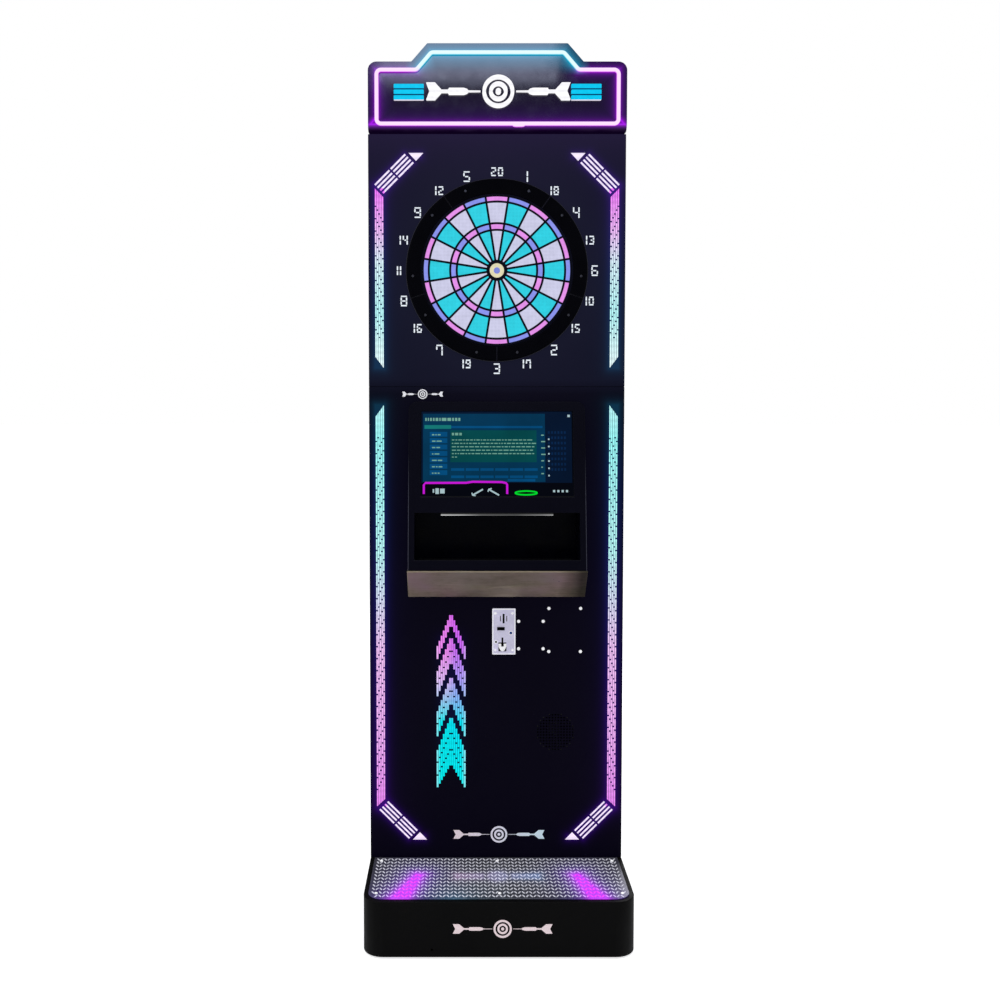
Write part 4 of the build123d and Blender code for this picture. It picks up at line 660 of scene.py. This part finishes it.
# ---- meshes ----
def mesh_object(name, mesh, material, smooth=True):
    data = bpy.data.meshes.new(name)
    bmesh.ops.recalc_face_normals(mesh, faces=mesh.faces)
    mesh.to_mesh(data)
    mesh.free()
    data.materials.append(material)
    piece = bpy.data.objects.new(name, data)
    bpy.context.scene.collection.objects.link(piece)
    if smooth:
        data.shade_smooth()
        data.set_sharp_from_angle(angle=math.radians(40.0))
    return piece


def finished(name, mesh, material, body="cabinet", smooth=True):
    """Links a mesh as a piece that rides on a body."""
    piece = mesh_object(name, mesh, material, smooth)
    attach(piece, body)


def skin(mesh, loops):
    """Faces between closed loops of as many points each, and over both ends."""
    rows = [[mesh.verts.new(point) for point in loop] for loop in loops]
    count = len(rows[0])
    for first, second in zip(rows, rows[1:]):
        for k in range(count):
            n = (k + 1) % count
            mesh.faces.new((first[k], first[n], second[n], second[k]))
    mesh.faces.new(rows[0])
    mesh.faces.new(rows[-1])


def pillow_box(mesh, low, high, edge=0.0005):
    """A block with chamfered edges all round its front (-Y) face."""
    x0, y0, z0 = low
    x1, y1, z1 = high
    skin(mesh, [[(x0 + inset, y, z0 + inset), (x1 - inset, y, z0 + inset),
                 (x1 - inset, y, z1 - inset), (x0 + inset, y, z1 - inset)]
                for y, inset in ((y1, 0.0), (y0 + edge, 0.0), (y0, edge))])


def pillow_slab(mesh, low, high, edge=0.0005):
    """A block with chamfered top edges."""
    x0, y0, z0 = low
    x1, y1, z1 = high
    skin(mesh, [[(x0 + inset, y0 + inset, z), (x1 - inset, y0 + inset, z),
                 (x1 - inset, y1 - inset, z), (x0 + inset, y1 - inset, z)]
                for z, inset in ((z0, 0.0), (z1 - edge, 0.0), (z1, edge))])


def turned(mesh, centre, axis, profile, steps=28):
    """A turned shape: profile is (radius, height) pairs along axis from centre."""
    matrix = Matrix.Translation(centre) @ Vector(axis).to_track_quat("Z", "Y").to_matrix().to_4x4()
    skin(mesh, [[matrix @ Vector((radius * math.cos(TURN * k / steps),
                                  radius * math.sin(TURN * k / steps), height))
                 for k in range(steps)] for radius, height in profile])


def turned_ring(mesh, centre, inner, outer, height, steps=32):
    """A flat ring with rounded edges, standing off a face along -Y."""
    section = ((inner, 0.0), (inner, -height * 0.6), (inner + 0.0003, -height),
               (outer - 0.0004, -height), (outer, -height * 0.6), (outer, 0.0))
    rows = []
    for k in range(steps):
        angle = TURN * k / steps
        rows.append([mesh.verts.new((centre[0] + r * math.cos(angle), centre[1] + h,
                                     centre[2] + r * math.sin(angle))) for r, h in section])
    for k in range(steps):
        first, second = rows[k], rows[(k + 1) % steps]
        for j in range(len(section)):
            n = (j + 1) % len(section)
            mesh.faces.new((first[j], second[j], second[n], first[n]))


# ---- the dial and the deck ----
def cell_loop(ring, middle, inset, y, steps=8):
    """The outline of one dial cell, inset by some width, at one depth."""
    gap = WEB_HALF + inset
    points = []
    for radius, way in ((ring[1] - gap, 1), (ring[0] + gap, -1)):
        half = HALF_SECTOR - math.asin(gap / radius)
        for k in range(steps + 1):
            angle = middle + way * half * (2 * k / steps - 1)
            points.append((radius * math.cos(angle), y, TARGET_Z + radius * math.sin(angle)))
    return points


def dial_faces(ring_name, letter, first, material):
    """The moulded faces of the segments of one ring and colour, each with a raised rim."""
    node = f"{ring_name}_{letter}"
    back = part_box(node)[0].y
    profile = ((0.0, back + 0.0002), (0.0, back - 0.0002), (0.0003, back - FACE_STEP),
               (0.0011, back - FACE_STEP), (0.0014, back - 0.0001))
    mesh = bmesh.new()
    for sector in range(first, SECTORS, 2):
        middle = math.pi / 2 - sector * 2 * HALF_SECTOR
        skin(mesh, [cell_loop(RINGS[ring_name], middle, inset, y) for inset, y in profile])
    finished(f"{node}_faces", mesh, material, node)


def tread_lugs(material):
    """Raised lugs of the checker plate, in rows that zigzag across the deck."""
    low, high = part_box("tread_plate")
    pitch_x, pitch_y = 0.0096, 0.02
    half_long, half_wide, height = 0.0074, 0.0021, 0.0014
    lean = math.radians(61.0)
    corner_r, margin, screw_clear, sides = 0.038, 0.007, 0.0085, 10
    columns = int((high.x - low.x - 2 * margin) / pitch_x)
    rows = int((high.y - low.y - 2 * margin) / pitch_y)
    screws = [(x, y) for x in (-0.313, 0.002, 0.315) for y in (-0.235, -0.04)]
    mesh = bmesh.new()
    for row in range(rows + 1):
        for column in range(columns + 1):
            x = (column - columns / 2) * pitch_x
            y = (low.y + high.y) / 2 + (row - rows / 2) * pitch_y
            if any(math.hypot(x - sx, y - sy) < screw_clear for sx, sy in screws):
                continue
            side = abs(x) - (high.x - corner_r)
            front = (low.y + corner_r) - y
            if side > 0 and front > 0 and math.hypot(side, front) > corner_r - margin:
                continue
            turn = lean if column % 2 else -lean
            loops = []
            for scale, z in ((1.0, -0.0003), (1.0, 0.0), (0.78, 0.6 * height), (0.4, height)):
                loop = []
                for k in range(sides):
                    angle = TURN * k / sides
                    u = half_long * math.cos(angle) * (0.35 + 0.65 * scale)
                    w = half_wide * math.sin(angle) * scale
                    loop.append((x + u * math.cos(turn) - w * math.sin(turn),
                                 y + u * math.sin(turn) + w * math.cos(turn), high.z + z))
                loops.append(loop)
            skin(mesh, loops)
    finished("tread_lugs", mesh, material)


# ---- the display's picture ----
HOOD_TOP, HOOD_HEIGHT, HOOD_DEPTH = 1.4, 0.448, 0.072
HOOD_TILT = math.asin(HOOD_DEPTH / math.hypot(HOOD_HEIGHT, HOOD_DEPTH))
SCREEN_W = 0.4098
SCREEN_H = 0.2304
SCREEN_TOP = 1.374
PICTURE_COLOURS = {
    "teal": (0.0005, 0.042, 0.105), "deep": (0.001, 0.008, 0.03),
    "dotted": (0.002, 0.02, 0.075), "black": (0.0006, 0.0012, 0.0045),
    "blue": (0.0005, 0.085, 0.24), "green": (0.0006, 0.078, 0.086),
    "ink": (0.2, 0.46, 0.36), "tab": (0.008, 0.21, 0.2), "pale": (0.45, 0.62, 0.66),
    "magenta": (0.66, 0.01, 0.78), "lime": (0.0, 0.78, 0.03),
}
EVEN_COLOURS = ("pale", "magenta", "lime")


def screen_plane():
    """A matrix that takes (across, up) on the screen, in metres, to the row frame."""
    middle_z = SCREEN_TOP - SCREEN_H / 2 * math.cos(HOOD_TILT)
    hood_y = FRONT_Y - 0.008 - (HOOD_TOP - middle_z) / HOOD_HEIGHT * HOOD_DEPTH
    middle_y = hood_y + 0.0025 / math.cos(HOOD_TILT) + 0.0004 + 0.0005
    return Matrix.Translation((0, middle_y, middle_z)) @ Matrix.Rotation(-HOOD_TILT, 4, "X")


def picture_rects(name, rects, depth, material):
    """Flat lit areas of the picture. Each is (left, bottom, width, height), as shares."""
    mesh = bmesh.new()
    for left, bottom, width, height in rects:
        x0 = (left - 0.5) * SCREEN_W
        z0 = (bottom - 0.5) * SCREEN_H
        pillow_box(mesh, (x0, -depth, z0), (x0 + width * SCREEN_W, 0.0, z0 + height * SCREEN_H),
                   0.00004)
    mesh.transform(screen_plane())
    finished(f"screen_{name}", mesh, material, smooth=False)


def picture_line(name, points, width, material, closed=False):
    """A lit line of the picture through points given as shares of the screen."""
    mesh = bmesh.new()
    path = [Vector(((u - 0.5) * SCREEN_W, 0, (w - 0.5) * SCREEN_H)) for u, w in points]
    count = len(path)
    sides = []
    for k, point in enumerate(path):
        before = path[(k - 1) % count] if closed or k else point
        after = path[(k + 1) % count] if closed or k < count - 1 else point
        along = (after - before).normalized()
        sides.append(Vector((-along.z, 0, along.x)) * width / 2)
    back = Vector((0, -0.00036, 0))
    for k in range(count if closed else count - 1):
        n = (k + 1) % count
        corners = [path[k] - sides[k], path[n] - sides[n], path[n] + sides[n],
                   path[k] + sides[k]]
        skin(mesh, [corners, [c + back for c in corners]])
    mesh.transform(screen_plane())
    finished(f"screen_{name}", mesh, material, smooth=False)


def word_bars(rng, left, right, bottom, height, fill=0.95):
    """A row of short bars that reads as a line of small print, but says nothing."""
    bars = []
    at = left
    while at < left + (right - left) * fill:
        width = rng.uniform(0.008, 0.034)
        bars.append((at, bottom, min(width, right - at), height))
        at += width + 0.007
    return bars


def display_picture():
    rng = random.Random(7)
    lit = {name: picture_layer(f"picture_{name}", colour, 0.1 if name in EVEN_COLOURS else 0.25)
           for name, colour in PICTURE_COLOURS.items()}
    picture_rects("back", [(0.0, 0.0, 1.0, 1.0)], 0.00014, lit["black"])
    picture_rects("top", [(0.006, 0.16, 0.985, 0.835)], 0.00018, lit["deep"])
    picture_rects("panels", [(0.016, 0.17, 0.8, 0.8)], 0.00021, lit["teal"])
    picture_rects("page", [(0.195, 0.4, 0.565, 0.375)], 0.00024, lit["green"])
    cells = [(0.06, 0.7 - 0.075 * k, 0.115, 0.056) for k in range(7)]
    cells += [(0.2 + 0.096 * c, 0.3 - 0.085 * r, 0.086, 0.03)
              for c in range(6) for r in range(2)]
    cells += [(0.2, 0.8, 0.6, 0.026), (0.57, 0.175, 0.18, 0.03)]
    picture_rects("blue_cells", cells, 0.00027, lit["blue"])
    dim = [(0.835 + 0.021 * c, 0.3 + 0.062 * r, 0.012, 0.03) for c in range(6) for r in range(8)]
    picture_rects("dim_cells", dim, 0.00023, lit["dotted"])
    ink_bars = []
    for row, end in enumerate((0.76, 0.76, 0.76, 0.76, 0.76, 0.24)):
        ink_bars += word_bars(rng, 0.205, end, 0.655 - 0.04 * row, 0.012)
    ink_bars += word_bars(rng, 0.205, 0.27, 0.715, 0.03)
    for row in range(7):
        ink_bars += word_bars(rng, 0.075, 0.15, 0.715 - 0.075 * row, 0.014, 0.6)
        ink_bars += word_bars(rng, 0.79, 0.82, 0.71 - 0.075 * row, 0.014, 0.4)
    ink_bars += word_bars(rng, 0.03, 0.26, 0.885, 0.036)
    picture_rects("ink", ink_bars, 0.00032, lit["ink"])
    picture_rects("tab", [(0.025, 0.792, 0.175, 0.044)], 0.00029, lit["tab"])
    icons = [(0.835, 0.66 - 0.085 * k, 0.01, 0.018) for k in range(6)]
    icons += [(0.865 + 0.028 * k, 0.05, 0.014, 0.026) for k in range(4)]
    icons += [(0.08, 0.045, 0.01, 0.042), (0.098, 0.03, 0.022, 0.066),
              (0.128, 0.036, 0.03, 0.056), (0.964, 0.93, 0.016, 0.028)]
    picture_rects("icons", icons, 0.00034, lit["pale"])
    for number, (left, way) in enumerate(((0.34, 1), (0.445, -1))):
        tail, tip = (left, 0.05 - 0.034 * way), (left + 0.068, 0.05 + 0.034 * way)
        fins = [(left + 0.02, 0.05 - 0.044 * way), tail, (left - 0.004, 0.05 - 0.006 * way)]
        picture_line(f"dart_{number}", [tail, tip], 0.0042, lit["pale"])
        picture_line(f"fins_{number}", fins, 0.0034, lit["pale"])
    outline = [(0.022, 0.03), (0.022, 0.135), (0.032, 0.158), (0.3, 0.16), (0.34, 0.172),
               (0.53, 0.168), (0.558, 0.158), (0.566, 0.14), (0.566, 0.03)]
    picture_line("frame_line", outline, 0.0056, lit["magenta"])
    pill = [(0.69 + 0.062 * math.cos(a) * (1.15 if abs(math.cos(a)) > 0.5 else 1.0),
             0.042 + 0.022 * math.sin(a)) for a in [TURN * k / 24 for k in range(24)]]
    picture_line("pill", pill, 0.0042, lit["lime"], closed=True)


# ---- fittings ----
def neon_fittings(mats):
    """The sleeve over the tube's join, and the saddles that hold it."""
    y = (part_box("header_neon")[0].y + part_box("header_neon")[1].y) / 2
    sleeve = bmesh.new()
    turned(sleeve, (0.04, y, NEON_BOTTOM - 0.0022), (1, 0, 0),
           ((0.004, 0.0), (0.0058, 0.002), (0.0068, 0.008), (0.0068, 0.024), (0.0058, 0.03),
            (0.004, 0.032)))
    finished("neon_sleeve", sleeve, mats["neon"])
    saddles = bmesh.new()
    places = [(x, NEON_BOTTOM, 0.0035, 0.0042) for x in (-0.24, -0.12, 0.12, 0.24)]
    places += [(x, NEON_CREST, 0.0035, 0.0042) for x in (-0.11, 0.0, 0.11)]
    places += [(side * NEON_HALF_W, 2.204, 0.0042, 0.0035) for side in (-1, 1)]
    for x, z, half_x, half_z in places:
        pillow_box(saddles, (x - half_x, y + 0.003, z - half_z),
                   (x + half_x, HEADER_FACE_Y + 0.0004, z + half_z), 0.0008)
    finished("neon_saddles", saddles, mats["dark_gloss"])


def coin_details(mats):
    """Domed screw heads, the entry's bezel, the lamp's lens, the return's scoop and a border.
    Places are measured from the middle of the coin selector's plate."""
    low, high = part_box("coin_faceplate")
    x, z = (low.x + high.x) / 2, (low.z + high.z) / 2
    face = FRONT_Y - 0.003
    entry, lamp, lock = (x - 0.001, z + 0.0365), (x + 0.019, z - 0.004), (x - 0.0215, z - 0.0285)

    def slab(mesh, span_x, depths, span_z, edge):
        pillow_box(mesh, (x + span_x[0], face - depths[0], z + span_z[0]),
                   (x + span_x[1], face - depths[1], z + span_z[1]), edge)

    bright = bmesh.new()
    for side in (-1, 1):
        for up in (-1, 1):
            turned(bright, (x + side * 0.0235, face - 0.0016, z + up * 0.0505), (0, -1, 0),
                   ((0.0034, 0.0), (0.0034, 0.0007), (0.0028, 0.0013), (0.0012, 0.0015)), 20)
    turned_ring(bright, (entry[0], face - 0.0018, entry[1]), 0.0132, 0.0152, 0.0016)
    turned_ring(bright, (lamp[0], face + 0.0002, lamp[1]), 0.004, 0.0054, 0.0012)
    turned_ring(bright, (lock[0], face + 0.0002, lock[1]), 0.003, 0.0046, 0.0014)
    for span_x in ((-0.0145, -0.0075), (-0.0005, 0.0065)):
        slab(bright, span_x, (0.008, 0.0066), (-0.04, -0.0318), 0.0004)
    scoop = ((-0.0145, -0.04), (-0.0075, -0.04), (-0.0005, -0.04), (0.0065, -0.04),
             (0.002, -0.05), (-0.004, -0.053), (-0.01, -0.05))
    skin(bright, [[(x + u, face - depth, z + w) for u, w in scoop] for depth in (0.005, 0.0064)])
    finished("coin_bright_work", bright, mats["cap"])
    dark = bmesh.new()
    slab(dark, (-0.0036, 0.0016), (0.0053, 0.0047), (0.0235, 0.0495), 0.0002)
    for middle in (-0.0095, 0.0075):
        slab(dark, (middle - 0.0011, middle + 0.0011), (0.0053, 0.0047), (0.029, 0.044), 0.0002)
    slab(dark, (-0.0064, -0.0016), (0.0004, -0.0002), (-0.033, -0.0165), 0.0002)
    turned(dark, (lock[0], face + 0.0001, lock[1]), (0, -1, 0),
           ((0.0029, 0.0), (0.0029, 0.0006), (0.002, 0.0009)), 20)
    finished("coin_dark_work", dark, mats["jet"])
    lens = bmesh.new()
    turned(lens, (lamp[0], face + 0.0012, lamp[1]), (0, -1, 0),
           ((0.0039, 0.0), (0.0039, 0.0012), (0.003, 0.0021), (0.0012, 0.0026)), 20)
    finished("coin_lamp_lens", lens, mats["lamp_blue"])
    border = bmesh.new()
    half_w, half_h, wide = 0.0312, 0.0627, 0.0024
    inner = (-half_h + wide, half_h - wide)
    for span_x, span_z in (((-half_w, half_w), (-half_h, -half_h + wide)),
                           ((-half_w, half_w), (half_h - wide, half_h)),
                           ((-half_w, -half_w + wide), inner),
                           ((half_w - wide, half_w), inner)):
        slab(border, span_x, (0.0009, -0.0003), span_z, 0.0004)
    finished("coin_border", border, mats["cap"])


def tray_mat(mats):
    """A ribbed rubber mat on the tray's floor."""
    low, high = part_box("tray_liner")
    base = low.z + 0.002
    mesh = bmesh.new()
    x0, x1 = low.x + 0.01, high.x - 0.01
    y0, y1 = low.y + 0.014, high.y - 0.008
    pillow_slab(mesh, (x0, y0, base), (x1, y1, base + 0.0016))
    ribs = 34
    for k in range(ribs):
        x = x0 + 0.006 + (x1 - x0 - 0.012) * k / (ribs - 1)
        pillow_slab(mesh, (x - 0.0018, y0 + 0.004, base + 0.0014),
                    (x + 0.0018, y1 - 0.004, base + 0.0028), 0.0006)
    finished("tray_mat", mesh, mats["rubber"])


# ---- assembling the looks ----
NODE_LOOKS = {
    "laminate": "lower_side_left lower_side_right upper_side_left upper_side_right "
                "cabinet_floor mid_plate rear_door",
    "panel": "lower_front_panel upper_front_panel", "coat": "upper_back_panel header_housing",
    "base": "base_shell", "tread": "tread_plate", "cap": "bright_screws", "rubber": "base_feet",
    "acrylic": "header_face", "neon": "header_neon", "lit_white": "header_emblem",
    "bar": "header_bars", "badge": "badges", "strip": "strip_diffusers",
    "lamp": "lamp_diffusers", "chevron": "chevron_diffuser", "numeral": "numeral_diffuser",
    "channel": "led_strips", "hood": "monitor_hood", "dark_gloss": "display_panel",
    "tray": "tray_liner", "tray_light": "tray_light", "chin": "tray_trim",
    "spider": "target_spider", "film": "sensor_mat", "backlight": "led_backlight",
    "foam": "surround_ring", "screw": "surround_screws", "cream": "outer_bull",
    "lavender": "inner_bull", "zinc": "coin_faceplate", "board": "main_board",
    "bright": "door_lock", "jet": "reject_button coin_return_flap",
    "steel": "target_backplate cash_box power_supply door_hinges",
    "black": "coin_mech_body speaker_driver fan_frame fan_rotor power_inlet power_rocker",
    "pink": "double_a treble_a", "violet": "double_b treble_b",
    "white": "outer_single_a inner_single_a", "cyan": "outer_single_b inner_single_b",
}
EDGE_BEVELS = {
    0.0003: "badges", 0.0004: "reject_button tray_liner cash_box",
    0.0005: "coin_faceplate surround_ring power_inlet power_rocker outer_bull",
    0.0006: "tread_plate tray_light fan_frame",
    0.0008: "lower_side_left lower_side_right upper_side_left upper_side_right header_face "
            "power_supply",
    0.0009: "tray_trim", 0.001: "header_housing rear_door",
    0.0012: "base_shell header_emblem", 0.0018: "monitor_hood", 0.0022: "header_bars",
}


def dress_cad_nodes(mats):
    for look, nodes in NODE_LOOKS.items():
        for node in nodes.split():
            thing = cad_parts[node]
            thing.data.materials.clear()
            thing.data.materials.append(mats[look])
    for width, nodes in EDGE_BEVELS.items():
        for node in nodes.split():
            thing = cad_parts[node]
            weld = thing.modifiers.new("weld", "WELD")
            weld.merge_threshold = 0.000005
            bevel = thing.modifiers.new("edges", "BEVEL")
            bevel.width = width
            bevel.segments = 2
            bevel.limit_method = "ANGLE"
            bevel.angle_limit = math.radians(40.0)
            bevel.harden_normals = True


def build_pieces(mats):
    for rings, looks in ((("double", "treble"), ("pink", "violet")),
                         (("outer_single", "inner_single"), ("white", "cyan"))):
        for ring_name in rings:
            for first, letter in enumerate("ab"):
                look = looks[first]
                dial_faces(ring_name, letter, first, mats[look])
    tread_lugs(mats["lug"])
    display_picture()
    neon_fittings(mats)
    coin_details(mats)
    tray_mat(mats)


# ---- stage, light, camera ----
def floor():
    """A pale floor. What the camera sees of it is lifted a little, to a plain studio white."""
    mesh = bmesh.new()
    bmesh.ops.create_circle(mesh, cap_ends=True, segments=96, radius=60.0)
    g = Graph("floor_paint", Roughness=0.7, Specular_IOR_Level=0.1)
    g.set("Base Color", g.ramp(g.noise(0.8, 3.0), ((0.3, 0.8), (0.7, 0.83))))
    seen = g.add("ShaderNodeLightPath").outputs["Is Camera Ray"]
    g.glow((1.0, 1.0, 1.0), g.times(seen, 0.72))
    mesh_object("floor", mesh, g.material, smooth=False)


def light_object(light, place, aim):
    lamp = bpy.data.objects.new(light.name, light)
    lamp.location = place
    lamp.rotation_euler = (Vector(aim) - Vector(place)).to_track_quat("-Z", "Y").to_euler()
    bpy.context.scene.collection.objects.link(lamp)


def area_light(name, place, aim, size, power, colour=(1.0, 1.0, 1.0)):
    light = bpy.data.lights.new(name, "AREA")
    light.shape = "RECTANGLE"
    light.size, light.size_y = size
    light.energy = power
    light.color = colour
    light_object(light, place, aim)


def studio():
    """White behind the machine, a dim cool light all round, a soft sun and four soft boxes."""
    world = bpy.data.worlds.new("studio")
    bpy.context.scene.world = world
    world.use_nodes = True
    tree = world.node_tree
    tree.nodes.clear()
    mix = tree.nodes.new("ShaderNodeMixShader")
    path = tree.nodes.new("ShaderNodeLightPath")
    tree.links.new(path.outputs["Is Camera Ray"], mix.inputs[0])
    for socket, colour, strength in ((1, (0.92, 0.95, 1.0), 0.16), (2, (1.0, 1.0, 1.0), 1.0)):
        background = tree.nodes.new("ShaderNodeBackground")
        background.inputs[0].default_value = (*colour, 1.0)
        background.inputs[1].default_value = strength
        tree.links.new(background.outputs[0], mix.inputs[socket])
    tree.links.new(mix.outputs[0], tree.nodes.new("ShaderNodeOutputWorld").inputs[0])
    sun = bpy.data.lights.new("sky", "SUN")
    sun.energy = 1.25
    sun.angle = math.radians(70.0)
    light_object(sun, (-0.8, -1.2, 6.0), (0.0, 0.0, 0.0))
    area_light("front", (-0.05, -3.5, 3.8), (0.0, -0.2, 0.9), (1.1, 1.2), 20.0, (0.7, 0.76, 1.0))
    area_light("left", (-3.0, -0.6, 2.0), (0.0, 0.0, 1.1), (1.6, 2.6), 22.0)
    area_light("right", (3.0, -0.6, 2.0), (0.0, 0.0, 1.1), (1.6, 2.6), 16.0)
    area_light("back", (0.8, 3.6, 2.8), (0.0, 0.0, 1.2), (2.5, 2.5), 45.0)


def camera():
    data = bpy.data.cameras.new("camera")
    data.sensor_width = 36.0
    data.lens = 1.0932 * data.sensor_width
    data.shift_x = 0.04
    data.shift_y = -0.0498
    eye = bpy.data.objects.new("camera", data)
    eye.location = (-0.0991, FRONT_Y - 2.957, 1.4057)
    eye.rotation_euler = (math.pi / 2 - 0.0464, 0.0, 0.0)
    bpy.context.scene.collection.objects.link(eye)
    bpy.context.scene.camera = eye


bpy.context.scene.view_settings.view_transform = "Standard"
camera()
studio()
floor()
materials = make_materials()
dress_cad_nodes(materials)
build_pieces(materials)
